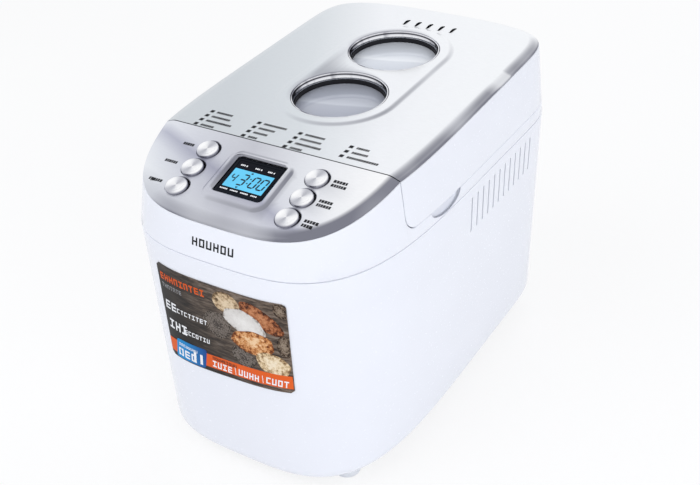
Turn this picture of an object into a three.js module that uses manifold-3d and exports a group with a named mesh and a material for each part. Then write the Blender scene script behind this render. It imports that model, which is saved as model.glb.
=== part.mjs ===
// Bread machine with a twin-paddle pan: housing, hinged lid, control panel, oven and belt drive.
// Millimetres, +Z up, front towards -Y, origin on the floor under the middle of the footprint.
import * as THREE from "three";
import { mergeVertices } from "three/addons/utils/BufferGeometryUtils.js";
import Module from "manifold-3d";

const wasm = await Module();
wasm.setup();

// ---- driving dimensions: the outside form
const WIDTH = 250; // across the collar, the widest level
const DEPTH = 398; // front to back at the collar
const HEIGHT = 295; // floor to the highest edge of the lid's steel panel
const WIDEST_Y = 68; // where the plan outline is widest
const OUTLINE_POINTS = 40;
const TURN_WEIGHT = 140; // millimetres of length that one radian of turning counts as
const FRONT_POWERS = [3.4, 5.0]; // superellipse powers of the plan outline ahead of WIDEST_Y
const REAR_POWERS = [2.85, 7.9]; // and behind it
const BAND_FLARE = 6.5; // how far the collar stands outside the steel top
const HOUSING_DRAFT = 4; // how much the housing narrows from collar to base, on each side
const BASE_ROUND = 13; // radius of the housing's bottom edge
const WALL = 2.8; // moulded walls
const FOOT_HEIGHT = 10;
const FOOT_RADIUS = 12.5;
const FOOT_INSET = [45, 49]; // from the overall sides and ends to the middle of a foot
const SEAM_Z = 222; // seam between housing and collar
const SEAM_GAP = 0.8;
const BAND_TOP_Z = 233; // top of the collar's band and of its deck
const SPLIT_Y = -105.5; // parting line between control panel and lid
const SPLIT_GAP = 0.5; // half of the gap at the parting line
const LID_RISE = 14; // rise of the lid from the parting line to the rear edge
const PANEL_DROP = 25; // fall of the control panel from the parting line to its front edge
const SHEET_PROUD = 3.2; // how far the steel panels bulge above their edges
const SHEET_EDGE = 1; // thickness of the panels at their edges
const BEVEL = 11; // width of the sloping border of the steel panels
const FIT = 0.3; // gap between neighbours that touch
const LAP = 0.02; // how far the collar's band runs into its front box

// ---- openings, label and joints of the housing and collar
const HOUSING_LIP = 6; // flat rim that carries the base plate
const PLATE_STEP = 2.2; // how far the base plate stands above that rim
const PLATE_LAP = 4; // how far the base plate runs over that rim
const SIDE_VENTS = { count: 12, pitch: 11.4, width: 2.4, height: 35, first: 0, drop: 10 };
const INLET = { x: -48, z: 44, radius: 7.5, flange: 3, bore: 3.8, length: 16 };
const LABEL = { x0: -66, x1: 62, z0: 107, z1: 202, thickness: 0.3 };
const DECK = 3; // thickness of the deck round the oven
const TONGUE = 8; // how far the collar reaches down into the housing
const TONGUE_WALL = 2;
const LID_CORNER = 14; // radius of the lower front corners of the lid's skirt
const SCOOP = { behindSplit: 59, halfLength: 25, depth: 7, drop: 10 };
const EAR = { halfWidth: 4, front: 5.2 };

// ---- control panel, measured along the slope from the parting line
const LCD_WIDTH = 45.5;
const LCD_LENGTH = 41;
const LCD_CENTRE = -39;
const LCD_FRAME = 3.6;
const LCD_CORNER = 3;
const LCD_SINK = 0.6; // the frame below the steel face
const BUTTON_RADIUS = 9.2;
const BUTTON_X = 52.5;
const BUTTON_FIRST = -21.6;
const BUTTON_PITCH = 22;
const BUTTON_COUNT = 3;
const BUTTON_TRAVEL = 1.5;
const BUTTON_PROUD = 3.4;
const BUTTON_CLEARANCE = 0.7;
const BUTTON_SKIRT = 4; // how far the cap reaches below the panel's edge plane
const BUTTON_STEM = 2.2;
const BOARD_DEPTH = 17; // control board below the panel
const BOARD_MARGIN = 9; // board beyond the outer buttons
const BOARD_THICKNESS = 1.6;
const SWITCH_HEIGHT = 4;

// ---- lid
const WINDOW_RADIUS = 43.5; // outside of the chromed ring
const WINDOW_GAP = 9; // between the two rings
const WINDOW_SEAT = WINDOW_RADIUS - 2.5; // radius of the tube under the ring's flange
const WINDOW_TUBE = 2.5; // wall of that tube
const WINDOW_LEDGE = 3; // ledge that carries the glass
const WINDOW_DEPTH = 40;
const GLASS = 3;
const GLASS_DEPTH = 15;
const VENT_COUNT = 5;
const VENT_X = 4.5; // middle of the row
const VENT_PITCH = 12.6;
const VENT_HALF = [1.6, 6];
const VENT_GAP = 19; // from the rear ring to the middle of the vents
const HINGE_ROUND = 5.7; // radius of the lid's rolled rear edge, about the hinge axis
const HINGE_LIFT = 1.4; // extra height, so that the rear edge clears the deck as the lid opens
const HINGE_EAR_X = 46;
const PIN_RADIUS = 2.5;
const PIN_CLEARANCE = 0.1;
const PIN_HALF = 11.5; // half length of a hinge pin
const ROLL_REACH = 22; // how far the rolled edge runs past the ears
const LINER_DROP = 3; // from the collar's deck to the liner
const LINER_REAR = 14; // from the hinge axis to the liner's rear edge
const LINER_SHEET = 2;
const SEAL = { inner: 3, outer: 8 }; // outside the oven's opening

// ---- oven and pan
const CHAMBER = { x: 93, y: 131, round: 34, floor: 58, sheet: 1 };
const CHAMBER_Y = 39.5;
const PAN = { x: 74, y: 112, round: 26, draft: 5, top: 204, floor: 74, wall: 1.6, lip: 5.5 };
const CLIP = { halfWidth: 11, sheet: 1.2, height: 8, toe: 9, gap: 0.5 };
const PAN_EAR = { thickness: 1.4, half: 7, top: 7 };
const BAIL_RADIUS = 2.2;
const BAIL_CORNER = 22;
const BAIL_BEND = 5;
const BAIL_PLAY = 0.5; // round the bail's ends in the pan's ears
const BAIL_X = PAN.x + PAN.lip + 6.5;
const KNEADER_PITCH = 96;
const SHAFT_RADIUS = 4;
const SHAFT_CLEARANCE = 0.3;
const BEARING_RADIUS = 9;
const PADDLE_GAP = 16; // left between the sweeps of the two blades
const HEATER_RADIUS = 3.25;
const HEATER_Z = 74;
const HEATER_INSET = 9; // from the chamber's wall to the element's centre line
const HEATER_LEAD_X = 22;
const HEATER_BEND = 6; // radius where the element turns out to its leads
const PROBE_Z = 108;
const PROBE_RADIUS = 2.5;

// ---- drive
const CHASSIS_Z = 52; // underside of the drive chassis
const CHASSIS_SHEET = 2;
const MOTOR_Y = -143;
const MOTOR_RADIUS = 34;
const MOTOR_HEIGHT = 88;
const MOTOR_SHAFT = 3;
const MOTOR_BOSS = 8;
const MOTOR_PULLEY = 9;
const LARGE_PULLEY = 45;
const SMALL_PULLEY = 20;
const PULLEY_WIDTH = 9;
const PULLEY_RIM = 1.5;
const PULLEY_HUB = 12;
const LOWER_BELT_Z = 27;
const UPPER_BELT_Z = 39;
const BELT_THICKNESS = 2;
const CHASSIS_HALF = 62;
const CHASSIS_LEG = 6; // half width of a leg
const SHAFT_END = 2; // how far the shafts stand below the lower pulleys

// ---- values that follow
const TOP_HALF = WIDTH / 2 - BAND_FLARE;
const FRONT_REACH = DEPTH / 2 - BAND_FLARE + WIDEST_Y;
const REAR_REACH = DEPTH / 2 - BAND_FLARE - WIDEST_Y;
const SPLIT_Z = HEIGHT - LID_RISE - SHEET_PROUD - SHEET_EDGE;
const LID_SLOPE = LID_RISE / (WIDEST_Y + REAR_REACH - SPLIT_Y);
const PANEL_SLOPE = PANEL_DROP / (SPLIT_Y - WIDEST_Y + FRONT_REACH);
const LID_TILT = Math.atan(LID_SLOPE);
const PANEL_TILT = Math.atan(PANEL_SLOPE);
const FOOT_X = WIDTH / 2 - FOOT_INSET[0];
const FOOT_Y = DEPTH / 2 - FOOT_INSET[1];
const PADDLE_REACH = (KNEADER_PITCH - PADDLE_GAP) / 2;
const WINDOW_REACH = WINDOW_RADIUS + WINDOW_GAP / 2;
const WINDOW_Y = [CHAMBER_Y - WINDOW_REACH, CHAMBER_Y + WINDOW_REACH];
const VENT_Y = WINDOW_Y[1] + WINDOW_RADIUS + VENT_GAP;
const HINGE_Z = BAND_TOP_Z + FIT + HINGE_ROUND + HINGE_LIFT;
const LINER_Z = BAND_TOP_Z + LINER_DROP;
const SCOOP_Y = SPLIT_Y + SCOOP.behindSplit;
const FAR = 2 * Math.max(WIDTH, DEPTH, HEIGHT);

const lidEdge = (y) => SPLIT_Z + LID_SLOPE * (y - SPLIT_Y);
const panelEdge = (y) => SPLIT_Z + PANEL_SLOPE * (y - SPLIT_Y);

// ---- finishes
const finish = (color, roughness, metalness) => ({ color, roughness, metalness });
const WHITE_GLOSS = finish(0xf2f4f8, 0.25, 0);
const BRUSHED = finish(0xc3c6ca, 0.35, 0.9);
const CHROME = finish(0xd8dade, 0.12, 1);
const STEEL = finish(0x9b9da0, 0.4, 1);
const ALUMINIUM = finish(0xb7b9bb, 0.45, 0.9);
const NONSTICK = finish(0x2b2c2e, 0.5, 0.2);
const BLACK = finish(0x141518, 0.45, 0);
const RUBBER = finish(0x2a2a2a, 0.85, 0);
const SOFT_WHITE = finish(0xe9ebee, 0.7, 0);
const CLEAR = finish(0xaab4b8, 0.05, 0);
const BOARD = finish(0x1d5a35, 0.6, 0);
const LIT = finish(0x45b4e8, 0.3, 0);
const PRINTED = finish(0x5a3a26, 0.4, 0);
const BRASS = finish(0xb08d4a, 0.4, 1);

const model = new THREE.Group();
const panelGroup = new THREE.Group();
panelGroup.position.set(0, SPLIT_Y, SPLIT_Z);
panelGroup.rotation.x = PANEL_TILT;
const lidGroup = new THREE.Group();
lidGroup.position.set(0, SPLIT_Y, SPLIT_Z);
lidGroup.rotation.x = LID_TILT;
model.add(panelGroup, lidGroup);

function addPart(name, shape, look, parent = model) {
  const geometry = shape.isBufferGeometry ? shape : toGeometry(shape);
  const mesh = new THREE.Mesh(geometry, new THREE.MeshStandardMaterial(look));
  mesh.name = name;
  parent.add(mesh);
  return mesh;
}

// ---- solids and geometries
function toSolid(geometry) {
  const bare = geometry.clone();
  bare.deleteAttribute("normal");
  bare.deleteAttribute("uv");
  const merged = mergeVertices(bare, 1e-4);
  const index = merged.index.array;
  const triangles = [];
  for (let i = 0; i < index.length; i += 3) {
    const [a, b, c] = index.slice(i, i + 3);
    if (a !== b && b !== c && c !== a) triangles.push(a, b, c);
  }
  return new wasm.Manifold(
    new wasm.Mesh({
      numProp: 3,
      vertProperties: Float32Array.from(merged.attributes.position.array),
      triVerts: Uint32Array.from(triangles),
    }),
  );
}

function toGeometry(solid) {
  const mesh = solid.getMesh();
  const geometry = new THREE.BufferGeometry();
  geometry.setAttribute("position", new THREE.BufferAttribute(mesh.vertProperties, 3));
  geometry.setIndex(new THREE.BufferAttribute(mesh.triVerts, 1));
  return geometry;
}

const join = (first, ...others) => others.reduce((all, next) => all.add(next), first);
const cut = (first, ...others) => others.reduce((all, next) => all.subtract(next), first);

// A block between two corners.
function block(x0, x1, y0, y1, z0, z1) {
  const geometry = new THREE.BoxGeometry(x1 - x0, y1 - y0, z1 - z0);
  geometry.translate((x0 + x1) / 2, (y0 + y1) / 2, (z0 + z1) / 2);
  return toSolid(geometry);
}

// An upright round bar, or a cone where the radii differ.
function rod(x, y, z0, z1, radius, topRadius = radius, sides = 18) {
  const geometry = new THREE.CylinderGeometry(topRadius, radius, z1 - z0, sides);
  geometry.rotateX(Math.PI / 2);
  geometry.translate(x, y, (z0 + z1) / 2);
  return toSolid(geometry);
}

// A round bar along X.
function rodAlongX(x0, x1, y, z, radius, sides = 16) {
  const geometry = new THREE.CylinderGeometry(radius, radius, x1 - x0, sides);
  geometry.rotateZ(Math.PI / 2);
  geometry.translate((x0 + x1) / 2, y, z);
  return toSolid(geometry);
}

// A round bar along Y.
function rodAlongY(x, y0, y1, z, radius, sides = 14) {
  const geometry = new THREE.CylinderGeometry(radius, radius, y1 - y0, sides);
  geometry.translate(x, (y0 + y1) / 2, z);
  return toSolid(geometry);
}

// A turned piece about an upright axis; the profile is [radius, z] points, closed on themselves.
function turned(profile, x, y, sides = 18) {
  const points = [...profile, profile[0]].map(([r, z]) => new THREE.Vector2(r, z));
  const geometry = new THREE.LatheGeometry(points, sides);
  geometry.rotateX(Math.PI / 2);
  geometry.translate(x, y, 0);
  return toSolid(geometry);
}

function extrudeUp(shape, z0, z1, curveSegments = 5) {
  const geometry = new THREE.ExtrudeGeometry(shape, {
    depth: z1 - z0,
    bevelEnabled: false,
    curveSegments,
  });
  geometry.translate(0, 0, z0);
  return toSolid(geometry);
}

// A rectangle with round corners, from its half sizes.
function roundedRectangle(halfX, halfY, radius, y = 0) {
  const shape = new THREE.Shape();
  const right = halfX - radius;
  const top = halfY - radius;
  shape.absarc(right, y + top, radius, 0, Math.PI / 2);
  shape.absarc(-right, y + top, radius, Math.PI / 2, Math.PI);
  shape.absarc(-right, y - top, radius, Math.PI, 1.5 * Math.PI);
  shape.absarc(right, y - top, radius, 1.5 * Math.PI, 2 * Math.PI);
  shape.closePath();
  return shape;
}

// A solid skinned over rings of equal length that run anticlockwise, from bottom to top.
// A hollow one goes on down the inside and back to its first ring.
function skin(rings, hollow = false) {
  const count = rings[0].length;
  const positions = rings.flat(2);
  const triangles = [];
  const bands = hollow ? rings.length : rings.length - 1;
  for (let k = 0; k < bands; k++) {
    const low = k * count;
    const high = ((k + 1) % rings.length) * count;
    for (let i = 0; i < count; i++) {
      const j = (i + 1) % count;
      triangles.push(low + i, low + j, high + j, low + i, high + j, high + i);
    }
  }
  if (!hollow) {
    const flat = rings[0].map(([x, y]) => new THREE.Vector2(x, y));
    const last = (rings.length - 1) * count;
    for (const [a, b, c] of THREE.ShapeUtils.triangulateShape(flat, [])) {
      triangles.push(c, b, a, last + a, last + b, last + c);
    }
  }
  const geometry = new THREE.BufferGeometry();
  geometry.setAttribute("position", new THREE.Float32BufferAttribute(positions, 3));
  geometry.setIndex(triangles);
  return toSolid(geometry);
}

// ---- the plan outline
function outlineStation(angle) {
  const c = Math.cos(angle);
  const s = Math.sin(angle);
  const [p, q] = s < 0 ? FRONT_POWERS : REAR_POWERS;
  const reach = s < 0 ? FRONT_REACH : REAR_REACH;
  const u = Math.sign(c) * Math.abs(c) ** (2 / p);
  const v = Math.sign(s) * Math.abs(s) ** (2 / q);
  const nx = (Math.sign(u) * p * Math.abs(u) ** (p - 1)) / TOP_HALF;
  const ny = (Math.sign(v) * q * Math.abs(v) ** (q - 1)) / reach;
  const length = Math.hypot(nx, ny);
  return { x: TOP_HALF * u, y: WIDEST_Y + reach * v, nx: nx / length, ny: ny / length };
}

// Stations are spread by length and by turning, so the corners get more of them.
function makeStations() {
  const steps = 5760;
  const dense = [];
  for (let i = 0; i <= steps; i++) dense.push(outlineStation(-Math.PI / 2 + (2 * Math.PI * i) / steps));
  const weight = [0];
  for (let i = 1; i <= steps; i++) {
    const [a, b] = [dense[i - 1], dense[i]];
    const turn = Math.abs(Math.atan2(a.nx * b.ny - a.ny * b.nx, a.nx * b.nx + a.ny * b.ny));
    weight.push(weight[i - 1] + Math.hypot(b.x - a.x, b.y - a.y) + TURN_WEIGHT * turn);
  }
  const stations = [];
  let k = 0;
  for (let i = 0; i < OUTLINE_POINTS; i++) {
    const target = (weight[steps] * i) / OUTLINE_POINTS;
    while (weight[k] < target) k++;
    stations.push(dense[k]);
  }
  return stations;
}
const STATIONS = makeStations();

// One ring of the outline, set out by an offset; z is a height or a function of y.
function ring(offset, z) {
  return STATIONS.map(({ x, y, nx, ny }) => {
    const py = y + offset * ny;
    return [x + offset * nx, py, typeof z === "function" ? z(py) : z];
  });
}

// The flared form between the seam and the edge of the steel top; inset shrinks it.
function flaredForm(edge, inset, from = 0, to = 1) {
  const rings = [from, to].map((t) =>
    STATIONS.map(({ x, y, nx, ny }) => {
      const offset = BAND_FLARE * (1 - t) - inset;
      const py = y + offset * ny;
      const low = SEAM_Z + SEAM_GAP;
      return [x + offset * nx, py, low + t * (edge(py) - low)];
    }),
  );
  return skin(rings);
}

const aheadOf = (y) => block(-FAR, FAR, -FAR, y, -FAR, FAR);
const behind = (y) => block(-FAR, FAR, y, FAR, -FAR, FAR);
const above = (z) => block(-FAR, FAR, -FAR, FAR, z, FAR);
const below = (z) => block(-FAR, FAR, -FAR, FAR, -FAR, z);
const mirrored = (make) => [make(-1), make(1)];

// ---- lower housing
const housingOffset = (z) => {
  const fromTop = (SEAM_Z - z) / (SEAM_Z - FOOT_HEIGHT);
  return BAND_FLARE - HOUSING_DRAFT * fromTop;
};

function housingRings(inset, steps = 3) {
  const centreZ = FOOT_HEIGHT + BASE_ROUND;
  const radius = BASE_ROUND - inset;
  const rings = [];
  for (let i = 0; i <= steps; i++) {
    const angle = (i / steps) * (Math.PI / 2);
    const z = centreZ - radius * Math.cos(angle);
    rings.push(ring(housingOffset(z) - BASE_ROUND + radius * Math.sin(angle), z));
  }
  rings.push(ring(housingOffset(SEAM_Z) - inset, SEAM_Z));
  return rings;
}

const lipOffset = housingOffset(FOOT_HEIGHT) - BASE_ROUND - HOUSING_LIP;

function makeHousing() {
  const outer = [ring(lipOffset, FOOT_HEIGHT), ...housingRings(0)];
  const inner = [ring(lipOffset, FOOT_HEIGHT + WALL), ...housingRings(WALL)];
  const shell = skin([...outer, ...inner.reverse()], true);
  const vents = [];
  for (let i = 0; i < SIDE_VENTS.count; i++) {
    const y = SIDE_VENTS.first + i * SIDE_VENTS.pitch;
    const top = SEAM_Z - SIDE_VENTS.drop;
    const half = SIDE_VENTS.width / 2;
    vents.push(block(-WIDTH, WIDTH, y - half, y + half, top - SIDE_VENTS.height, top));
  }
  return cut(shell, ...vents, rodAlongY(INLET.x, 0, DEPTH, INLET.z, INLET.radius + FIT));
}

function makeCordInlet() {
  const wallY = rearAt(INLET.x, housingOffset(INLET.z));
  const inside = rodAlongY(INLET.x, wallY - INLET.length, wallY + 2, INLET.z, INLET.radius);
  const flange = rodAlongY(INLET.x, wallY + 1, wallY + 3, INLET.z, INLET.radius + INLET.flange);
  const bore = rodAlongY(INLET.x, wallY - FAR, wallY + FAR, INLET.z, INLET.bore);
  return cut(join(inside, flange), bore);
}

const PLATE_TOP = FOOT_HEIGHT + WALL + PLATE_STEP;

function makeBasePlate() {
  const lower = skin([ring(lipOffset - FIT, FOOT_HEIGHT), ring(lipOffset - FIT, PLATE_TOP)]);
  const seat = FOOT_HEIGHT + WALL + FIT;
  const upper = skin([ring(lipOffset + PLATE_LAP, seat), ring(lipOffset + PLATE_LAP, PLATE_TOP)]);
  return join(lower, upper);
}

function makeFoot(x, y) {
  const profile = [
    [0, 0],
    [FOOT_RADIUS - 2, 0],
    [FOOT_RADIUS, 2],
    [FOOT_RADIUS, FOOT_HEIGHT],
    [0, FOOT_HEIGHT],
  ];
  return turned(profile, x, y, 18);
}

// A thin printed patch that follows the front wall.
function makeLabel() {
  const wall = (lift, z0, z1) => skin([z0, z1].map((z) => ring(housingOffset(z) + lift, z)));
  const outer = wall(FIT + LABEL.thickness, FOOT_HEIGHT + BASE_ROUND, SEAM_Z);
  const inner = wall(FIT, FOOT_HEIGHT + BASE_ROUND - 1, SEAM_Z + 1);
  const front = WIDEST_Y - FRONT_REACH / 2;
  return cut(outer, inner).intersect(block(LABEL.x0, LABEL.x1, -FAR, front, LABEL.z0, LABEL.z1));
}

// ---- collar: band, deck round the oven, and the box that carries the control panel
// What lies below and ahead of the lid's round front corners, seen from the side.
function cornerFillet(grow) {
  const front = SPLIT_Y - SPLIT_GAP;
  const low = BAND_TOP_Z;
  const centreY = SPLIT_Y + SPLIT_GAP + LID_CORNER;
  const centreZ = BAND_TOP_Z + FIT + LID_CORNER;
  const corner = block(-FAR, FAR, front, centreY, low, centreZ);
  return cut(corner, rodAlongX(-FAR, FAR, centreY, centreZ, LID_CORNER + grow, 64));
}

// The finger scoops under the lid's edge; grown, they are the pockets behind them.
function makeScoops(grow = 0) {
  return mirrored((side) => {
    const geometry = new THREE.SphereGeometry(1, 20, 10);
    geometry.scale(SCOOP.depth + grow, SCOOP.halfLength + grow, SCOOP.drop + grow);
    const ahead = STATIONS.filter((station) => station.y < SCOOP_Y);
    const sideX = Math.max(...ahead.map((station) => station.x));
    geometry.translate(side * (sideX + BAND_FLARE), SCOOP_Y, BAND_TOP_Z + FIT);
    return toSolid(geometry);
  });
}

// The wall of the flared form, open at both ends.
function flaredWall(edge) {
  return cut(flaredForm(edge, 0), innerForm(edge, WALL));
}

// The flared form shrunk, and run on past both ends.
const innerForm = (edge, inset) => flaredForm(edge, inset, -0.3, 1.3);

function makeCollar() {
  const inFront = aheadOf(SPLIT_Y - SPLIT_GAP);
  const lowBand = behind(SPLIT_Y - SPLIT_GAP - LAP).intersect(below(BAND_TOP_Z));
  const frontBox = flaredWall(panelEdge).intersect(inFront);
  const band = flaredWall(lidEdge).intersect(lowBand);
  const divider = flaredForm((y) => panelEdge(y) - FIT, WALL / 2)
    .intersect(inFront)
    .intersect(behind(SPLIT_Y - SPLIT_GAP - WALL))
    .intersect(above(BAND_TOP_Z - DECK));
  const deck = flaredForm(lidEdge, WALL / 2)
    .intersect(behind(SPLIT_Y - SPLIT_GAP - WALL))
    .intersect(above(BAND_TOP_Z - DECK))
    .intersect(below(BAND_TOP_Z));
  const tongueTop = SEAM_Z + SEAM_GAP + 1;
  const tongueOffset = housingOffset(SEAM_Z) - WALL - FIT;
  const tongue = skin(
    [
      ring(tongueOffset, SEAM_Z - TONGUE),
      ring(tongueOffset, SEAM_Z + SEAM_GAP),
      ring(BAND_FLARE - 1, SEAM_Z + SEAM_GAP),
      ring(BAND_FLARE - 1, tongueTop),
      ring(tongueOffset - TONGUE_WALL, tongueTop),
      ring(tongueOffset - TONGUE_WALL, SEAM_Z - TONGUE),
    ],
    true,
  );
  const opening = extrudeUp(
    roundedRectangle(CHAMBER.x, CHAMBER.y, CHAMBER.round, CHAMBER_Y),
    BAND_TOP_Z - 2 * DECK,
    BAND_TOP_Z + DECK,
  );
  const ears = mirrored(makeEar);
  const earHoles = rodAlongX(-FAR, FAR, hingeY(), HINGE_Z, PIN_RADIUS + PIN_CLEARANCE);
  const corners = flaredWall(lidEdge).intersect(cornerFillet(SPLIT_GAP * 2));
  const room = flaredForm(lidEdge, FIT).intersect(lowBand);
  const pockets = makeScoops(WALL / 2).map((pocket) => pocket.intersect(room));
  const wholeCollar = join(frontBox, band, divider, deck, tongue, corners, ...pockets, ...ears);
  return cut(wholeCollar, opening, earHoles, ...makeScoops());
}

// The rear of the outline at a distance from the middle, with an offset.
function rearAt(x, offset) {
  const [p, q] = REAR_POWERS;
  return WIDEST_Y + offset + REAR_REACH * (1 - Math.abs(x / TOP_HALF) ** p) ** (1 / q);
}

// The hinge axis lies one roll radius inside the rear of the lid's skirt, beside the ears.
function hingeY() {
  const low = SEAM_Z + SEAM_GAP;
  const share = (HINGE_Z - low) / (lidEdge(WIDEST_Y + REAR_REACH) - low);
  return rearAt(HINGE_EAR_X, BAND_FLARE * (1 - share)) - HINGE_ROUND;
}

function makeEar(side) {
  const x0 = side * HINGE_EAR_X - EAR.halfWidth;
  const x1 = side * HINGE_EAR_X + EAR.halfWidth;
  const eye = rodAlongX(x0, x1, hingeY(), HINGE_Z, EAR.front - 0.2);
  const web = block(x0, x1, hingeY() - EAR.front, hingeY(), BAND_TOP_Z - 1, HINGE_Z);
  return join(eye, web);
}

// ---- steel panels
function steelPanel(edge) {
  return skin([
    ring(-0.6, (y) => edge(y) + FIT),
    ring(-0.6, (y) => edge(y) + SHEET_EDGE),
    ring(-BEVEL * 0.5, (y) => edge(y) + SHEET_EDGE + SHEET_PROUD * 0.72),
    ring(-BEVEL, (y) => edge(y) + SHEET_EDGE + SHEET_PROUD),
  ]);
}

// Height of a panel's flat face above its edge plane, square to the plane.
const faceHeight = (tilt) => (SHEET_EDGE + SHEET_PROUD) * Math.cos(tilt);
const PANEL_FACE = faceHeight(PANEL_TILT);
const LID_FACE = faceHeight(LID_TILT);

// Carries a cutting tool from the frame of a sloping panel into the model's frame.
function onSlope(solid, tilt) {
  const matrix = new THREE.Matrix4().makeRotationX(tilt).setPosition(0, SPLIT_Y, SPLIT_Z);
  return toSolid(toGeometry(solid).applyMatrix4(matrix));
}

const buttonPlaces = [];
for (const side of ["left", "right"]) {
  for (let i = 0; i < BUTTON_COUNT; i++) {
    buttonPlaces.push({
      name: `button_${side}_${i + 1}`,
      x: side === "left" ? -BUTTON_X : BUTTON_X,
      y: BUTTON_FIRST - i * BUTTON_PITCH,
    });
  }
}

// The display's outline, shrunk by an inset.
const lcdShape = (inset, corner) =>
  roundedRectangle(LCD_WIDTH / 2 - inset, LCD_LENGTH / 2 - inset, corner, LCD_CENTRE);

function makeFascia() {
  const holes = buttonPlaces.map(({ x, y }) => rod(x, y, -20, 20, BUTTON_RADIUS + BUTTON_CLEARANCE));
  const window = extrudeUp(lcdShape(-FIT, LCD_CORNER), -20, 20, 4);
  const tools = onSlope(join(window, ...holes), PANEL_TILT);
  return cut(steelPanel(panelEdge).intersect(aheadOf(SPLIT_Y - SPLIT_GAP)), tools);
}

function makeButton({ x, y }) {
  const top = PANEL_FACE + BUTTON_PROUD;
  const profile = [
    [0, -BUTTON_SKIRT],
    [BUTTON_RADIUS, -BUTTON_SKIRT],
    [BUTTON_RADIUS, top - 1.2],
    [BUTTON_RADIUS - 1.2, top],
    [BUTTON_RADIUS - 3, top - 0.4],
    [0, top - 0.9],
  ];
  const cap = turned(profile, x, y, 16);
  const stemFoot = -BOARD_DEPTH + SWITCH_HEIGHT + BUTTON_TRAVEL + FIT;
  const stem = rod(x, y, stemFoot, 0.5 - BUTTON_SKIRT, BUTTON_STEM, BUTTON_STEM, 8);
  return join(cap, stem);
}

function makeControlBoard() {
  const halfX = BUTTON_X + BOARD_MARGIN;
  const rear = BUTTON_FIRST + BOARD_MARGIN;
  const front = BUTTON_FIRST - (BUTTON_COUNT - 1) * BUTTON_PITCH - BOARD_MARGIN + 1;
  const plate = block(-halfX, halfX, front, rear, -BOARD_DEPTH - BOARD_THICKNESS, -BOARD_DEPTH);
  const switches = buttonPlaces.map(({ x, y }) =>
    block(x - 3, x + 3, y - 3, y + 3, -BOARD_DEPTH - 0.5, -BOARD_DEPTH + SWITCH_HEIGHT),
  );
  return join(plate, ...switches);
}

function makeLcdBezel() {
  const body = extrudeUp(lcdShape(0, LCD_CORNER), -BUTTON_SKIRT, PANEL_FACE - LCD_SINK, 3);
  const opening = lcdShape(LCD_FRAME, LCD_CORNER / 2);
  return cut(body, extrudeUp(opening, -BUTTON_SKIRT - 1, PANEL_FACE + 1, 3));
}

function makeLcdModule() {
  const halfX = LCD_WIDTH / 2 - LCD_FRAME - FIT;
  const halfY = LCD_LENGTH / 2 - LCD_FRAME - FIT;
  const glass = extrudeUp(lcdShape(LCD_FRAME + FIT, 1.2), -6, PANEL_FACE - 3.4, 3);
  const front = LCD_CENTRE - halfY - 4;
  const rear = LCD_CENTRE + halfY + 4;
  const frame = block(-halfX - 4, halfX + 4, front, rear, -BOARD_DEPTH + FIT, -BUTTON_SKIRT - FIT);
  return join(glass, frame);
}

function makeLcdLens() {
  return extrudeUp(lcdShape(LCD_FRAME + FIT, 1.2), PANEL_FACE - 3, PANEL_FACE - 1, 3);
}

// ---- lid
function windowTools(radius, from, to) {
  return WINDOW_Y.map((y) => rod(0, slopeDistance(y), from, to, radius, radius, 28));
}

// Distance along the lid's slope from the parting line to a place given in plan.
const slopeDistance = (y) => (y - SPLIT_Y) / Math.cos(LID_TILT);

function ventTools() {
  const tools = [];
  for (let i = 0; i < VENT_COUNT; i++) {
    const x = VENT_X + (i - (VENT_COUNT - 1) / 2) * VENT_PITCH;
    const y = slopeDistance(VENT_Y);
    tools.push(block(x - VENT_HALF[0], x + VENT_HALF[0], y - VENT_HALF[1], y + VENT_HALF[1], -20, 20));
  }
  return tools;
}

function makeLidPanel() {
  const tools = onSlope(join(...windowTools(WINDOW_SEAT + FIT, -20, 20), ...ventTools()), LID_TILT);
  return cut(steelPanel(lidEdge).intersect(behind(SPLIT_Y + SPLIT_GAP)), tools);
}

function makeLidShell() {
  const outer = flaredForm(lidEdge, 0).intersect(behind(SPLIT_Y + SPLIT_GAP));
  const hollow = flaredForm((y) => lidEdge(y) - WALL, WALL, -0.3, 1).intersect(
    behind(SPLIT_Y + SPLIT_GAP + WALL),
  );
  const skirt = cut(outer, hollow).intersect(above(BAND_TOP_Z + FIT));
  const y = hingeY();
  const underRoll = block(-FAR, FAR, y, FAR, -FAR, HINGE_Z);
  const rollForm = flaredForm(lidEdge, FIT / 2).intersect(above(BAND_TOP_Z + FIT));
  const rollEnd = HINGE_EAR_X + ROLL_REACH;
  const roll = rodAlongX(-rollEnd, rollEnd, y, HINGE_Z, HINGE_ROUND, 32).intersect(rollForm);
  const pinEnd = HINGE_EAR_X + PIN_HALF + 0.5;
  const pinHole = rodAlongX(-pinEnd, pinEnd, y, HINGE_Z, PIN_RADIUS + FIT);
  const earRoom = mirrored((side) => {
    const x0 = side * HINGE_EAR_X - EAR.halfWidth - FIT;
    const x1 = side * HINGE_EAR_X + EAR.halfWidth + FIT;
    return rodAlongX(x0, x1, y, HINGE_Z, HINGE_ROUND + 0.4, 32);
  });
  const tools = onSlope(join(...windowTools(WINDOW_SEAT + FIT, -20, 20), ...ventTools()), LID_TILT);
  const skirtRoom = cut(cornerFillet(0), innerForm(lidEdge, WALL + 1));
  return cut(join(cut(skirt, underRoll, skirtRoom), roll), pinHole, ...earRoom, tools);
}

function makeHingePin(side) {
  const x = side * HINGE_EAR_X;
  return rodAlongX(x - PIN_HALF, x + PIN_HALF, hingeY(), HINGE_Z, PIN_RADIUS);
}

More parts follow.
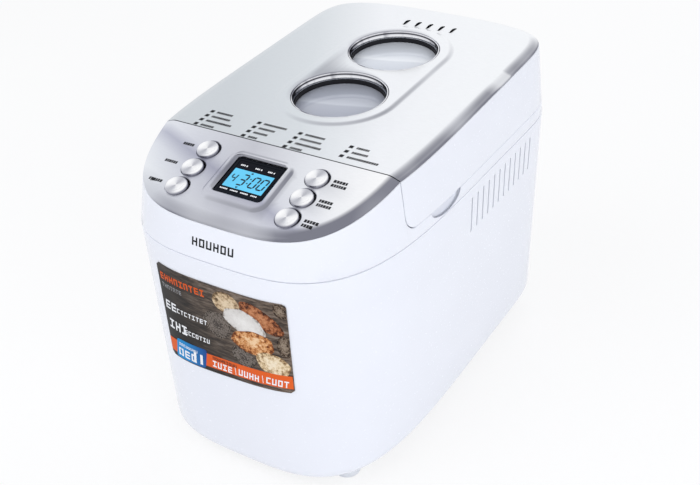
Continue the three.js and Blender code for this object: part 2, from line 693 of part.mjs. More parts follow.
function makeLiner() {
  const plate = flaredForm(lidEdge, WALL + 0.6)
    .intersect(above(LINER_Z))
    .intersect(below(LINER_Z + LINER_SHEET))
    .intersect(behind(SPLIT_Y + SPLIT_GAP + WALL + 0.5))
    .intersect(aheadOf(hingeY() - LINER_REAR));
  const tools = onSlope(join(...windowTools(WINDOW_SEAT + FIT, -FAR, 20)), LID_TILT);
  return cut(plate, tools);
}

function makeSeal() {
  const { x, y, round } = CHAMBER;
  const loop = (grow, z0, z1) =>
    extrudeUp(roundedRectangle(x + grow, y + grow, round + grow, CHAMBER_Y), z0, z1);
  return cut(loop(SEAL.outer, BAND_TOP_Z + FIT, LINER_Z), loop(SEAL.inner, BAND_TOP_Z - 1, LINER_Z + 1));
}

function makeWindowRing(y) {
  const bottom = -WINDOW_DEPTH;
  const bore = WINDOW_SEAT - WINDOW_TUBE;
  const ledge = bore - WINDOW_LEDGE;
  const profile = [
    [ledge, bottom],
    [WINDOW_SEAT, bottom],
    [WINDOW_SEAT, LID_FACE + FIT],
    [WINDOW_RADIUS, LID_FACE + FIT],
    [WINDOW_RADIUS - 0.6, LID_FACE + 1.9],
    [WINDOW_SEAT - 1, LID_FACE + 1.9],
    [bore, LID_FACE - 3],
    [bore, LID_FACE - GLASS_DEPTH],
    [ledge, LID_FACE - GLASS_DEPTH],
  ];
  return turned(profile, 0, slopeDistance(y), 28);
}

function makeGlass(y) {
  const z = LID_FACE - GLASS_DEPTH + FIT;
  const radius = WINDOW_SEAT - WINDOW_TUBE - FIT;
  return rod(0, slopeDistance(y), z, z + GLASS, radius, radius, 28);
}

// ---- oven
const shaftPlaces = [CHAMBER_Y - KNEADER_PITCH / 2, CHAMBER_Y + KNEADER_PITCH / 2];

function makeChamber() {
  const { x, y, round, floor, sheet } = CHAMBER;
  const rim = BAND_TOP_Z - DECK - FIT;
  const outer = extrudeUp(roundedRectangle(x, y, round, CHAMBER_Y), floor, rim);
  const flange = extrudeUp(roundedRectangle(x + 7, y + 7, round + 7, CHAMBER_Y), rim - sheet, rim);
  const inner = extrudeUp(
    roundedRectangle(x - sheet, y - sheet, round - sheet, CHAMBER_Y),
    floor + sheet,
    rim + 1,
  );
  const shaftHoles = shaftPlaces.map((place) => rod(0, place, 0, floor + 5, BEARING_RADIUS + FIT));
  const leads = [-HEATER_LEAD_X, HEATER_LEAD_X].map((lead) =>
    rodAlongY(lead, CHAMBER_Y + y - 20, CHAMBER_Y + y + 20, HEATER_Z, HEATER_RADIUS + FIT),
  );
  const probe = rodAlongY(0, CHAMBER_Y - y - 20, CHAMBER_Y - y + 20, PROBE_Z, PROBE_RADIUS + FIT);
  return cut(join(outer, flange), inner, ...shaftHoles, ...leads, probe);
}

// A path through chosen points, with one step of the sweep between each pair.
class Route extends THREE.Curve {
  constructor(points) {
    super();
    this.points = points;
  }
  getPoint(t, target = new THREE.Vector3()) {
    const place = t * (this.points.length - 1);
    const i = Math.min(Math.floor(place), this.points.length - 2);
    return target.lerpVectors(this.points[i], this.points[i + 1], place - i);
  }
  getPointAt(u, target) {
    return this.getPoint(u, target);
  }
  getTangentAt(u, target = new THREE.Vector3()) {
    const half = 0.5 / (this.points.length - 1);
    const here = this.getPoint(u);
    const arriving = here.clone().sub(this.getPoint(Math.max(u - half, 0))).normalize();
    const leaving = this.getPoint(Math.min(u + half, 1)).sub(here).normalize();
    return target.addVectors(arriving, leaving).normalize();
  }
}

// A route along corners in a level plane, each square corner rounded to its radius.
function roundedRoute(corners, z, segments = 4) {
  const points = [];
  corners.forEach(([x, y, radius], i) => {
    const corner = new THREE.Vector3(x, y, z);
    if (i === 0 || i === corners.length - 1) {
      points.push(corner);
      return;
    }
    const [before, after] = [corners[i - 1], corners[i + 1]];
    const into = corner.clone().sub(new THREE.Vector3(before[0], before[1], z)).normalize();
    const out = new THREE.Vector3(after[0], after[1], z).sub(corner).normalize();
    const centre = corner.clone().addScaledVector(into, -radius).addScaledVector(out, radius);
    for (let k = 0; k <= segments; k++) {
      const angle = (k / segments) * (Math.PI / 2);
      const onArc = centre.clone().addScaledVector(out, -radius * Math.cos(angle));
      points.push(onArc.addScaledVector(into, radius * Math.sin(angle)));
    }
  });
  return new Route(points);
}

// A round bar swept along a route.
function sweep(route, radius, sides = 8) {
  const section = new THREE.Shape();
  for (let i = 0; i < sides; i++) {
    const angle = (2 * Math.PI * i) / sides;
    section[i === 0 ? "moveTo" : "lineTo"](radius * Math.cos(angle), radius * Math.sin(angle));
  }
  section.closePath();
  const steps = route.points.length - 1;
  const options = { steps, extrudePath: route, bevelEnabled: false };
  return toSolid(new THREE.ExtrudeGeometry(section, options));
}

// The element runs round the pan and leaves through the oven's rear wall.
function makeHeater() {
  const halfX = CHAMBER.x - HEATER_INSET;
  const halfY = CHAMBER.y - HEATER_INSET;
  const corner = CHAMBER.round - HEATER_INSET;
  const back = CHAMBER_Y + halfY;
  const front = CHAMBER_Y - halfY;
  const leadEnd = CHAMBER_Y + CHAMBER.y + 10;
  const corners = [
    [HEATER_LEAD_X, leadEnd],
    [HEATER_LEAD_X, back, HEATER_BEND],
    [halfX, back, corner],
    [halfX, front, corner],
    [-halfX, front, corner],
    [-halfX, back, corner],
    [-HEATER_LEAD_X, back, HEATER_BEND],
    [-HEATER_LEAD_X, leadEnd],
  ];
  return sweep(roundedRoute(corners, HEATER_Z), HEATER_RADIUS);
}

function makeProbe() {
  const wall = CHAMBER_Y - CHAMBER.y;
  const stem = rodAlongY(0, wall - 8, wall + 9, PROBE_Z, PROBE_RADIUS);
  const head = rodAlongY(0, wall - 12, wall - FIT, PROBE_Z, PROBE_RADIUS + 2.5);
  return join(stem, head);
}

function makePanClip(side) {
  const seat = CHAMBER_Y + side * (PAN.y - PAN.draft + CLIP.gap);
  const outer = seat + side * CLIP.sheet;
  const toe = seat + side * CLIP.toe;
  const floor = CHAMBER.floor + CHAMBER.sheet + FIT;
  const strip = (a, b, height) =>
    block(-CLIP.halfWidth, CLIP.halfWidth, Math.min(a, b), Math.max(a, b), floor, floor + height);
  return join(strip(seat, outer, CLIP.height), strip(seat, toe, CLIP.sheet));
}

// ---- pan
const PAN_FOOT_Z = CHAMBER.floor + CHAMBER.sheet + FIT;
const BAIL_Z = PAN.top + FIT + BAIL_RADIUS;

const panRing = (halfX, halfY, round, z) => {
  const points = roundedRectangle(halfX, halfY, round, CHAMBER_Y).getPoints(4);
  const last = points.length - 1;
  const closed = points[0].distanceTo(points[last]) < 1e-6;
  return (closed ? points.slice(0, last) : points).map((p) => [p.x, p.y, z]);
};

function makePan() {
  const { x, y, round, draft, top, floor, wall, lip } = PAN;
  const foot = PAN_FOOT_Z;
  const outer = [
    panRing(x - draft, y - draft, round - draft, foot),
    panRing(x - draft, y - draft, round - draft, floor),
    panRing(x, y, round, top - 2),
    panRing(x + lip, y + lip, round + lip, top - 2),
    panRing(x + lip, y + lip, round + lip, top),
    panRing(x - wall, y - wall, round - wall, top),
    panRing(x - draft - wall, y - draft - wall, round - draft - wall, floor + 2),
  ];
  const body = skin(outer);
  const recess = extrudeUp(
    roundedRectangle(x - draft - wall, y - draft - wall, round - draft - wall, CHAMBER_Y),
    foot - 1,
    floor,
  );
  const bore = SHAFT_RADIUS + SHAFT_CLEARANCE;
  const holes = shaftPlaces.map((place) => rod(0, place, foot, floor + 10, bore));
  const ears = mirrored((side) => {
    const near = side * (x + lip - 1);
    const far = side * (x + lip + PAN_EAR.thickness);
    const [x0, x1] = [Math.min(near, far), Math.max(near, far)];
    const [y0, y1] = [CHAMBER_Y - PAN_EAR.half, CHAMBER_Y + PAN_EAR.half];
    return block(x0, x1, y0, y1, top - 2, BAIL_Z + PAN_EAR.top);
  });
  const pivots = rodAlongX(-FAR, FAR, CHAMBER_Y, BAIL_Z, BAIL_RADIUS + BAIL_PLAY);
  return cut(join(body, ...ears), recess, ...holes, pivots);
}

// The bail lies forward on the pan's lip; its ends turn in through the ears.
function makeBail() {
  const crossbar = CHAMBER_Y - PAN.y - 1;
  const end = PAN.x + PAN.lip - 3.5;
  const corners = [
    [end, CHAMBER_Y],
    [BAIL_X, CHAMBER_Y, BAIL_BEND],
    [BAIL_X, crossbar, BAIL_CORNER],
    [-BAIL_X, crossbar, BAIL_CORNER],
    [-BAIL_X, CHAMBER_Y, BAIL_BEND],
    [-end, CHAMBER_Y],
  ];
  return sweep(roundedRoute(corners, BAIL_Z), BAIL_RADIUS);
}

// ---- kneading train
const DOG = { z: PAN_FOOT_Z + 2.5, height: 5.5, halfLength: 9, halfWidth: 3 };
const FORK_TOP = PAN.floor - 0.5;

function makeDriveShaft(y) {
  const bottom = LOWER_BELT_Z - PULLEY_WIDTH / 2 - SHAFT_END;
  const shaft = rod(0, y, bottom, DOG.z + 1, SHAFT_RADIUS, SHAFT_RADIUS, 24);
  const dog = block(
    -DOG.halfLength,
    DOG.halfLength,
    y - DOG.halfWidth,
    y + DOG.halfWidth,
    DOG.z,
    DOG.z + DOG.height,
  );
  return join(shaft, dog);
}

// The shaft in the pan's floor, with a fork below that straddles the dog.
function makePanShaft(y) {
  const shaft = rod(0, y, FORK_TOP - 1, PADDLE.shaftTop, SHAFT_RADIUS, SHAFT_RADIUS, 24);
  const disc = rod(0, y, DOG.z + DOG.height + 0.8, FORK_TOP, 11.5, 11.5, 28);
  const prongs = mirrored((side) => {
    const near = y + side * (DOG.halfWidth + 1);
    const far = y + side * 10.5;
    return block(-3, 3, Math.min(near, far), Math.max(near, far), DOG.z + 1, FORK_TOP - 1);
  });
  return join(shaft, disc, ...prongs);
}

const PADDLE = {
  foot: PAN.floor + 2.5,
  hub: 8.5,
  hubHeight: 24,
  shaftTop: PAN.floor + 20,
  blade: 4,
  bladeHeight: 34,
};

function makePaddle(y) {
  const { foot, hub, hubHeight, blade, bladeHeight } = PADDLE;
  const body = rod(0, y, foot, foot + hubHeight, hub, hub - 1.5, 28);
  const fin = new THREE.Shape();
  fin.moveTo(0, 0);
  fin.lineTo(PADDLE_REACH, 0);
  fin.lineTo(PADDLE_REACH, 6);
  fin.quadraticCurveTo(PADDLE_REACH - 4, bladeHeight - 4, hub + 6, bladeHeight);
  fin.lineTo(0, bladeHeight - 6);
  fin.closePath();
  const options = { depth: blade, bevelEnabled: false, curveSegments: 8 };
  const geometry = new THREE.ExtrudeGeometry(fin, options);
  geometry.rotateX(Math.PI / 2);
  geometry.translate(0, y + blade / 2, foot);
  const bore = rod(0, y, foot - 5, PADDLE.shaftTop + FIT, SHAFT_RADIUS + SHAFT_CLEARANCE);
  return cut(join(body, toSolid(geometry)), bore);
}

function makeBearing(y) {
  const flange = CHAMBER.floor - FIT;
  const bore = SHAFT_RADIUS + SHAFT_CLEARANCE;
  const profile = [
    [bore, CHASSIS_Z - 6],
    [BEARING_RADIUS, CHASSIS_Z - 6],
    [BEARING_RADIUS, CHASSIS_Z + CHASSIS_SHEET + FIT],
    [BEARING_RADIUS + 6, CHASSIS_Z + CHASSIS_SHEET + FIT],
    [BEARING_RADIUS + 6, flange],
    [BEARING_RADIUS, flange],
    [BEARING_RADIUS, CHAMBER.floor + CHAMBER.sheet + 1],
    [bore, CHAMBER.floor + CHAMBER.sheet + 1],
  ];
  return turned(profile, 0, y, 16);
}

// A grooved pulley; the belt lies in the groove.
function grooved(radius, z, bore) {
  const half = PULLEY_WIDTH / 2;
  return [
    [bore, z - half],
    [radius + PULLEY_RIM, z - half],
    [radius + PULLEY_RIM, z - half + PULLEY_RIM],
    [radius - BELT_THICKNESS, z - half + PULLEY_RIM],
    [radius - BELT_THICKNESS, z + half - PULLEY_RIM],
    [radius + PULLEY_RIM, z + half - PULLEY_RIM],
    [radius + PULLEY_RIM, z + half],
    [bore, z + half],
  ];
}

const PULLEY_BORE = SHAFT_RADIUS + FIT;

function makeFrontPulley() {
  const large = turned(grooved(LARGE_PULLEY, LOWER_BELT_Z, PULLEY_BORE), 0, shaftPlaces[0], 28);
  const small = turned(grooved(SMALL_PULLEY, UPPER_BELT_Z, PULLEY_BORE), 0, shaftPlaces[0], 18);
  const middle = turned(
    [
      [PULLEY_BORE, LOWER_BELT_Z],
      [PULLEY_HUB, LOWER_BELT_Z],
      [PULLEY_HUB, UPPER_BELT_Z],
      [PULLEY_BORE, UPPER_BELT_Z],
    ],
    0,
    shaftPlaces[0],
    18,
  );
  return join(large, small, middle);
}

// A belt round two pulleys, centred on the line x = 0.
function makeBelt(yA, radiusA, yB, radiusB, z) {
  const loop = (grow) => {
    const span = yB - yA;
    const lean = Math.asin((radiusB - radiusA) / span);
    const shape = new THREE.Shape();
    shape.absarc(0, yA, radiusA + grow, Math.PI + lean, 2 * Math.PI - lean);
    shape.absarc(0, yB, radiusB + grow, -lean, Math.PI + lean);
    shape.closePath();
    return shape;
  };
  const half = PULLEY_WIDTH / 2 - PULLEY_RIM - FIT;
  const outside = extrudeUp(loop(FIT), z - half, z + half, 8);
  return cut(outside, extrudeUp(loop(FIT - BELT_THICKNESS), z - half - 1, z + half + 1, 8));
}

const makeRearPulley = () =>
  turned(grooved(SMALL_PULLEY, UPPER_BELT_Z, PULLEY_BORE), 0, shaftPlaces[1], 18);

function makeMotorPulley() {
  return turned(grooved(MOTOR_PULLEY, LOWER_BELT_Z, MOTOR_SHAFT + FIT), 0, MOTOR_Y, 16);
}

const MOTOR_FOOT = CHASSIS_Z + CHASSIS_SHEET;

function makeMotor() {
  const top = MOTOR_FOOT + MOTOR_HEIGHT;
  const bore = MOTOR_SHAFT + FIT;
  const r = MOTOR_RADIUS;
  const profile = [
    [bore, MOTOR_FOOT - CHASSIS_SHEET - 2],
    [MOTOR_BOSS, MOTOR_FOOT - CHASSIS_SHEET - 2],
    [MOTOR_BOSS, MOTOR_FOOT + FIT],
    [r - 6, MOTOR_FOOT + FIT],
    [r, MOTOR_FOOT + 8],
    [r, top - 10],
    [r - 6, top - 2],
    [9, top - 2],
    [9, top + 3],
    [bore, top + 3],
  ];
  return turned(profile, 0, MOTOR_Y, 18);
}

function makeMotorShaft() {
  const bottom = LOWER_BELT_Z - PULLEY_WIDTH / 2 - SHAFT_END;
  return rod(0, MOTOR_Y, bottom, MOTOR_FOOT + MOTOR_HEIGHT + 6, MOTOR_SHAFT, MOTOR_SHAFT, 20);
}

// A plate on four legs that carries the motor and the shaft bearings.
function makeChassis() {
  const halfX = CHASSIS_HALF;
  const leg = CHASSIS_LEG;
  const front = MOTOR_Y - 30;
  const back = CHAMBER_Y + CHAMBER.y - 12;
  const plate = block(-halfX, halfX, front, back, CHASSIS_Z, CHASSIS_Z + CHASSIS_SHEET);
  const legs = [];
  for (const x of [-halfX + leg, halfX - leg]) {
    for (const y of [front + leg, back - leg]) {
      legs.push(block(x - leg, x + leg, y - leg, y + leg, PLATE_TOP, CHASSIS_Z + 1));
    }
  }
  const holes = shaftPlaces.map((y) => rod(0, y, CHASSIS_Z - 5, CHASSIS_Z + 5, BEARING_RADIUS + FIT));
  const motorHole = rod(0, MOTOR_Y, CHASSIS_Z - 5, CHASSIS_Z + 5, MOTOR_BOSS + FIT);
  return cut(join(plate, ...legs), ...holes, motorHole);
}

function makeCapacitor() {
  const foot = MOTOR_FOOT + FIT;
  return rod(MOTOR_RADIUS + 16, MOTOR_Y + 12, foot, foot + 46, 12, 12, 28);
}

function makePowerBoard() {
  const x = -MOTOR_RADIUS - 14;
  const foot = MOTOR_FOOT + FIT;
  const plate = block(x, x + 1.6, MOTOR_Y - 24, MOTOR_Y + 34, foot, foot + 78);
  const transformer = block(x - 20, x + 1, MOTOR_Y - 4, MOTOR_Y + 24, foot + 12, foot + 40);
  const relay = block(x - 14, x + 1, MOTOR_Y - 20, MOTOR_Y - 2, foot + 48, foot + 64);
  const terminals = block(x - 9, x + 1, MOTOR_Y + 4, MOTOR_Y + 30, foot + 54, foot + 66);
  return join(plate, transformer, relay, terminals);
}

// ---- assembly
addPart("main_housing", makeHousing(), WHITE_GLOSS);
addPart("upper_collar", makeCollar(), WHITE_GLOSS);
addPart("base_plate", makeBasePlate(), SOFT_WHITE);
for (const [name, sideX, sideY] of [
  ["foot_front_left", -1, -1],
  ["foot_front_right", 1, -1],
  ["foot_rear_left", -1, 1],
  ["foot_rear_right", 1, 1],
]) {
  addPart(name, makeFoot(sideX * FOOT_X, sideY * FOOT_Y), SOFT_WHITE);
}
addPart("cord_inlet", makeCordInlet(), BLACK);
addPart("front_label", makeLabel(), PRINTED);

addPart("control_fascia", makeFascia(), BRUSHED);
addPart("lcd_bezel", makeLcdBezel(), BLACK, panelGroup);
addPart("lcd_lens", makeLcdLens(), CLEAR, panelGroup);
addPart("lcd_module", makeLcdModule(), LIT, panelGroup);
addPart("control_board", makeControlBoard(), BOARD, panelGroup);
for (const place of buttonPlaces) addPart(place.name, makeButton(place), CHROME, panelGroup);

addPart("lid_shell", makeLidShell(), WHITE_GLOSS);
addPart("lid_top_panel", makeLidPanel(), BRUSHED);
addPart("lid_liner", makeLiner(), ALUMINIUM);
addPart("lid_seal", makeSeal(), RUBBER);
["front", "rear"].forEach((place, i) => {
  addPart(`window_ring_${place}`, makeWindowRing(WINDOW_Y[i]), CHROME, lidGroup);
  addPart(`window_glass_${place}`, makeGlass(WINDOW_Y[i]), CLEAR, lidGroup);
});
addPart("hinge_pin_left", makeHingePin(-1), STEEL);
addPart("hinge_pin_right", makeHingePin(1), STEEL);

addPart("baking_chamber", makeChamber(), ALUMINIUM);
addPart("heating_element", makeHeater(), STEEL);
addPart("temperature_probe", makeProbe(), STEEL);
addPart("pan_clip_front", makePanClip(-1), STEEL);
addPart("pan_clip_rear", makePanClip(1), STEEL);
addPart("bread_pan", makePan(), NONSTICK);
addPart("pan_bail", makeBail(), STEEL);

["front", "rear"].forEach((place, i) => {
  addPart(`pan_shaft_${place}`, makePanShaft(shaftPlaces[i]), STEEL);
  addPart(`paddle_${place}`, makePaddle(shaftPlaces[i]), NONSTICK);
  addPart(`drive_shaft_${place}`, makeDriveShaft(shaftPlaces[i]), STEEL);
  addPart(`shaft_bearing_${place}`, makeBearing(shaftPlaces[i]), BRASS);
});
addPart("pulley_front", makeFrontPulley(), SOFT_WHITE);
addPart("pulley_rear", makeRearPulley(), SOFT_WHITE);
addPart("belt_motor", makeBelt(MOTOR_Y, MOTOR_PULLEY, shaftPlaces[0], LARGE_PULLEY, LOWER_BELT_Z), RUBBER);
addPart("belt_cross", makeBelt(...shaftPlaces.flatMap((y) => [y, SMALL_PULLEY]), UPPER_BELT_Z), RUBBER);
addPart("motor_pulley", makeMotorPulley(), SOFT_WHITE);
addPart("motor", makeMotor(), STEEL);
addPart("motor_shaft", makeMotorShaft(), STEEL);
addPart("drive_chassis", makeChassis(), STEEL);
addPart("motor_capacitor", makeCapacitor(), SOFT_WHITE);
addPart("power_board", makePowerBoard(), BOARD);

export default model;
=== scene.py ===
import math
import random

import bmesh
import bpy
from mathutils import Matrix, Vector
from mathutils.geometry import delaunay_2d_cdt


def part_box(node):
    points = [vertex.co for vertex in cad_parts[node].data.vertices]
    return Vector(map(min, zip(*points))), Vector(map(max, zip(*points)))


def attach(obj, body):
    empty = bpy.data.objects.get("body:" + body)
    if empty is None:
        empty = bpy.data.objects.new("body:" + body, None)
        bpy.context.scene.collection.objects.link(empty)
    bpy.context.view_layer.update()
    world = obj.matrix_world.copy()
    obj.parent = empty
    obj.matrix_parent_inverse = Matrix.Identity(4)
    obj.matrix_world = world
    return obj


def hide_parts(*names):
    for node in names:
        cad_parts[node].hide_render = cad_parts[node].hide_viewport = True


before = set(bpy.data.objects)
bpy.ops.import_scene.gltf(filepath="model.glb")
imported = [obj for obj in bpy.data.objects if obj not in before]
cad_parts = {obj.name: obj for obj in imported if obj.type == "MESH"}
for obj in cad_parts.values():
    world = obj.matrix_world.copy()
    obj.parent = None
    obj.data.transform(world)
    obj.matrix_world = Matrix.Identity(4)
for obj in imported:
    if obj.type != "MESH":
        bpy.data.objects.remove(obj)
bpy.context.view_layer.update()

random.seed(7)

# ---- sizes, in metres
collar_low, collar_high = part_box("upper_collar")
plate_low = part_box("base_plate")[0]
FLARE = 0.0065
TOP_HALF = collar_high.x - FLARE
WIDEST_Y = 0.068
FRONT_REACH = WIDEST_Y - collar_low.y - FLARE
REAR_REACH = collar_high.y - WIDEST_Y - FLARE
FRONT_POWERS = (3.4, 5.0)
REAR_POWERS = (2.85, 7.9)
FIT = 0.0003
WALL = 0.0028
DRAFT = 0.004
BASE_Z = plate_low.z
BASE_ROUND = 0.013
SEAM_Z = 0.222
COLLAR_LOW = SEAM_Z + 0.0008
SHEET_LIP = 0.0008
PRINT_LIFT = 0.00004
BAND_LIFT, BADGE_LIFT, WORD_LIFT = 0.00016, 0.0002, 0.00024
BAND_TOP = 0.233
DECK = 0.003
SPLIT_Y = -0.1055
SPLIT_GAP = 0.0005
SPLIT_Z = 0.2768
LID_SLOPE = 0.014 / 0.298
PANEL_SLOPE = 0.025 / 0.087
LID_TILT = math.atan(LID_SLOPE)
PANEL_TILT = math.atan(PANEL_SLOPE)
SHEET_EDGE = 0.001
SHEET_PROUD = 0.0032
FACE = SHEET_EDGE + SHEET_PROUD
BEVEL = 0.011
CORNER = 0.014
HINGE_Y = 0.1905225
HINGE_Z = 0.2404
HINGE_ROUND = 0.0057
EAR_X, EAR_HALF, EAR_GAP = 0.046, 0.004, 0.0043
SCOOP_Y = SPLIT_Y + 0.059
WINDOW_Y = (-0.0085, 0.0875)
TRACK_RADIUS = 0.0565
TRACK_SLOPE = 0.006
TRACK_RISE = 0.0013
VENT_X, VENT_Y, VENT_PITCH, VENT_LEAN = 0.0045, 0.150, 0.0126, 0.1
LABEL_LIFT = (-0.02, 0.06)
LCD_CENTRE = -0.039
LCD_HALF = (0.02275, 0.0205)
BUTTON_RADIUS = 0.0092


def lid_edge(y):
    return SPLIT_Z + LID_SLOPE * (y - SPLIT_Y)


def panel_edge(y):
    return SPLIT_Z + PANEL_SLOPE * (y - SPLIT_Y)


# ---- the plan outline
def station(angle):
    c, s = math.cos(angle), math.sin(angle)
    p, q = FRONT_POWERS if s < 0 else REAR_POWERS
    reach = FRONT_REACH if s < 0 else REAR_REACH
    u = math.copysign(abs(c) ** (2 / p), c)
    v = math.copysign(abs(s) ** (2 / q), s)
    nx = math.copysign(p * abs(u) ** (p - 1), u) / TOP_HALF
    ny = math.copysign(q * abs(v) ** (q - 1), v) / reach
    size = math.hypot(nx, ny)
    return TOP_HALF * u, WIDEST_Y + reach * v, nx / size, ny / size


def make_stations(count=260, steps=9000, turn_weight=0.14):
    dense = [station(-math.pi / 2 + 2 * math.pi * i / steps) for i in range(steps + 1)]
    weight = [0.0]
    for a, b in zip(dense, dense[1:]):
        turn = abs(math.atan2(a[2] * b[3] - a[3] * b[2], a[2] * b[2] + a[3] * b[3]))
        length = math.hypot(b[0] - a[0], b[1] - a[1])
        near_corner = SPLIT_Y - 0.003 < a[1] < SPLIT_Y + CORNER + 0.004
        weight.append(weight[-1] + length * (6 if near_corner else 1) + turn_weight * turn)
    picked, k = [], 0
    for i in range(count):
        while weight[k] < weight[-1] * i / count:
            k += 1
        picked.append(dense[k])
    return picked


STATIONS = make_stations()


def ring(offset, z):
    """One loop of the outline, set out by offset; z is a height or a function of y."""
    points = []
    for x, y, nx, ny in STATIONS:
        py = y + offset * ny
        points.append(Vector((x + offset * nx, py, z(py) if callable(z) else z)))
    return points


def flare_offset(share):
    return FLARE * (1 - share)


def share_at(z, edge_z):
    """How far up the flared wall a height lies: 0 at the seam, 1 at a panel's edge."""
    return (z - COLLAR_LOW) / (edge_z - COLLAR_LOW)


def flared_ring(share, inset, edge):
    """A loop of the flared wall between the seam (share 0) and a panel's edge (share 1)."""
    return ring(flare_offset(share) - inset, lambda y: COLLAR_LOW + share * (edge(y) - COLLAR_LOW))


def half_width(offset, y):
    """Half width of the outline at a station line y."""
    loop = ring(offset, 0.0)
    best = 0.0
    for a, b in zip(loop, loop[1:] + loop[:1]):
        if a.x > 0 and (a.y - y) * (b.y - y) <= 0 and a.y != b.y:
            best = max(best, a.x + (b.x - a.x) * (y - a.y) / (b.y - a.y))
    return best


# ---- mesh helpers
def add_skin(bm, rings, hollow=False):
    """Quads between loops of equal length; a hollow skin joins its last loop to its first."""
    loops = [[bm.verts.new(p) for p in points] for points in rings]
    pairs = list(zip(loops, loops[1:]))
    if hollow:
        pairs.append((loops[-1], loops[0]))
    count = len(rings[0])
    for low, high in pairs:
        for i in range(count):
            j = (i + 1) % count
            bm.faces.new((low[i], low[j], high[j], high[i]))
    return loops


def cap(bm, loop, up=True):
    return bm.faces.new(loop if up else list(reversed(loop)))


def slice_off(bm, y, keep_front):
    """Cuts away everything on one side of the plane y; the cut is left open."""
    keep = {"clear_outer": keep_front, "clear_inner": not keep_front}
    everything = bm.verts[:] + bm.edges[:] + bm.faces[:]
    plane = {"plane_co": (0, y, 0), "plane_no": (0, 1, 0)}
    bmesh.ops.bisect_plane(bm, geom=everything, **plane, **keep, dist=1e-7)


def close_holes(bm):
    edges = [e for e in bm.edges if e.is_boundary]
    bmesh.ops.holes_fill(bm, edges=edges, sides=0)


def make_object(name, bm, materials, smooth=35.0, recalc=True):
    if recalc:
        bmesh.ops.recalc_face_normals(bm, faces=bm.faces[:])
    mesh = bpy.data.meshes.new(name)
    bm.to_mesh(mesh)
    bm.free()
    for material in materials if isinstance(materials, (list, tuple)) else [materials]:
        mesh.materials.append(material)
    obj = bpy.data.objects.new(name, mesh)
    bpy.context.scene.collection.objects.link(obj)
    if smooth:
        mesh.shade_smooth()
        mesh.set_sharp_from_angle(angle=math.radians(smooth))
    return obj


def settle(obj, body, slot, *nodes):
    if nodes:
        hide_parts(*nodes)
    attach(obj, body)
    return obj


def piece(name, bm, material, body, slot, *nodes, matrix=None, smooth=35.0, recalc=True):
    obj = make_object(name, bm, material, smooth, recalc)
    if matrix:
        obj.matrix_world = matrix
    return settle(obj, body, slot, *nodes)


def printed(*details, matrix=None):
    """A flat piece: thin print on a surface."""
    return piece(*details, matrix=matrix, smooth=None, recalc=False)


def slope_matrix(tilt, x, along):
    """Places a piece on the lid's or the panel's slope, at a distance measured along it."""
    turn = Matrix.Rotation(tilt, 4, "X")
    return Matrix.Translation((0, SPLIT_Y, SPLIT_Z)) @ turn @ Matrix.Translation((x, along, 0))


def quarter(radius):
    """Four steps round a quarter circle, as [inwards, down] from the corner it replaces."""
    angles = [i / 3 * math.pi / 2 for i in range(4)]
    return [(radius * (1 - math.cos(a)), radius * (1 - math.sin(a))) for a in angles]


def boolean(obj, tools, operation="DIFFERENCE", smooth=35.0):
    """Applies exact booleans with throwaway tool objects."""
    for tool in tools:
        modifier = obj.modifiers.new("cut", "BOOLEAN")
        modifier.operation = operation
        modifier.solver = "EXACT"
        modifier.object = tool
    bpy.context.view_layer.update()
    evaluated = obj.evaluated_get(bpy.context.evaluated_depsgraph_get())
    mesh = bpy.data.meshes.new_from_object(evaluated)
    obj.modifiers.clear()
    obj.data = mesh
    mesh.shade_smooth()
    mesh.set_sharp_from_angle(angle=math.radians(smooth))
    for tool in tools:
        bpy.data.objects.remove(tool)
    return obj


def add_block(bm, low, high):
    corners = [Vector((x, y, z)) for z in (low[2], high[2]) for x, y in (
        (low[0], low[1]), (high[0], low[1]), (high[0], high[1]), (low[0], high[1]))]
    verts = [bm.verts.new(c) for c in corners]
    for face in (
        (3, 2, 1, 0), (4, 5, 6, 7), (0, 1, 5, 4), (1, 2, 6, 5), (2, 3, 7, 6), (3, 0, 4, 7)
    ):
        bm.faces.new([verts[i] for i in face])
    return verts


def circle(radius, count, cx=0.0, cy=0.0):
    return [
        (
            cx + radius * math.cos(2 * math.pi * i / count),
            cy + radius * math.sin(2 * math.pi * i / count)
        )
        for i in range(count)
    ]


def turned(bm, profile, sides, centre=(0, 0)):
    """A turned body from [radius, z] pairs; a radius of 0 closes it with a fan."""
    loops = []
    for r, z in profile:
        if r == 0:
            loops.append([bm.verts.new((centre[0], centre[1], z))])
        else:
            loops.append([bm.verts.new((x, y, z)) for x, y in circle(r, sides, *centre)])
    for low, high in zip(loops, loops[1:]):
        for i in range(sides):
            j = (i + 1) % sides
            if len(low) == 1:
                bm.faces.new((low[0], high[j], high[i]))
            elif len(high) == 1:
                bm.faces.new((low[i], low[j], high[0]))
            else:
                bm.faces.new((low[i], low[j], high[j], high[i]))


def rounded_rectangle(half_x, half_y, radius, cx=0.0, cy=0.0, steps=8):
    points = []
    for sx, sy, start in ((1, 1, 0), (-1, 1, 90), (-1, -1, 180), (1, -1, 270)):
        for i in range(steps + 1):
            a = math.radians(start + 90 * i / steps)
            points.append((
                cx + sx * (half_x - radius) + radius * math.cos(a),
                cy + sy * (half_y - radius) + radius * math.sin(a),
            ))
    return points


def racetrack(radius, steps=28):
    """A stadium round both windows."""
    points = []
    for y, start in ((WINDOW_Y[1], 0), (WINDOW_Y[0], 180)):
        for i in range(steps + 1):
            a = math.radians(start + 180 * i / steps)
            points.append((radius * math.cos(a), y + radius * math.sin(a)))
    return points


def inside(point, loop):
    hit = False
    x, y = point
    for (x0, y0), (x1, y1) in zip(loop, loop[1:] + loop[:1]):
        if (y0 > y) != (y1 > y) and x < (x1 - x0) * (y - y0) / (y1 - y0) + x0:
            hit = not hit
    return hit


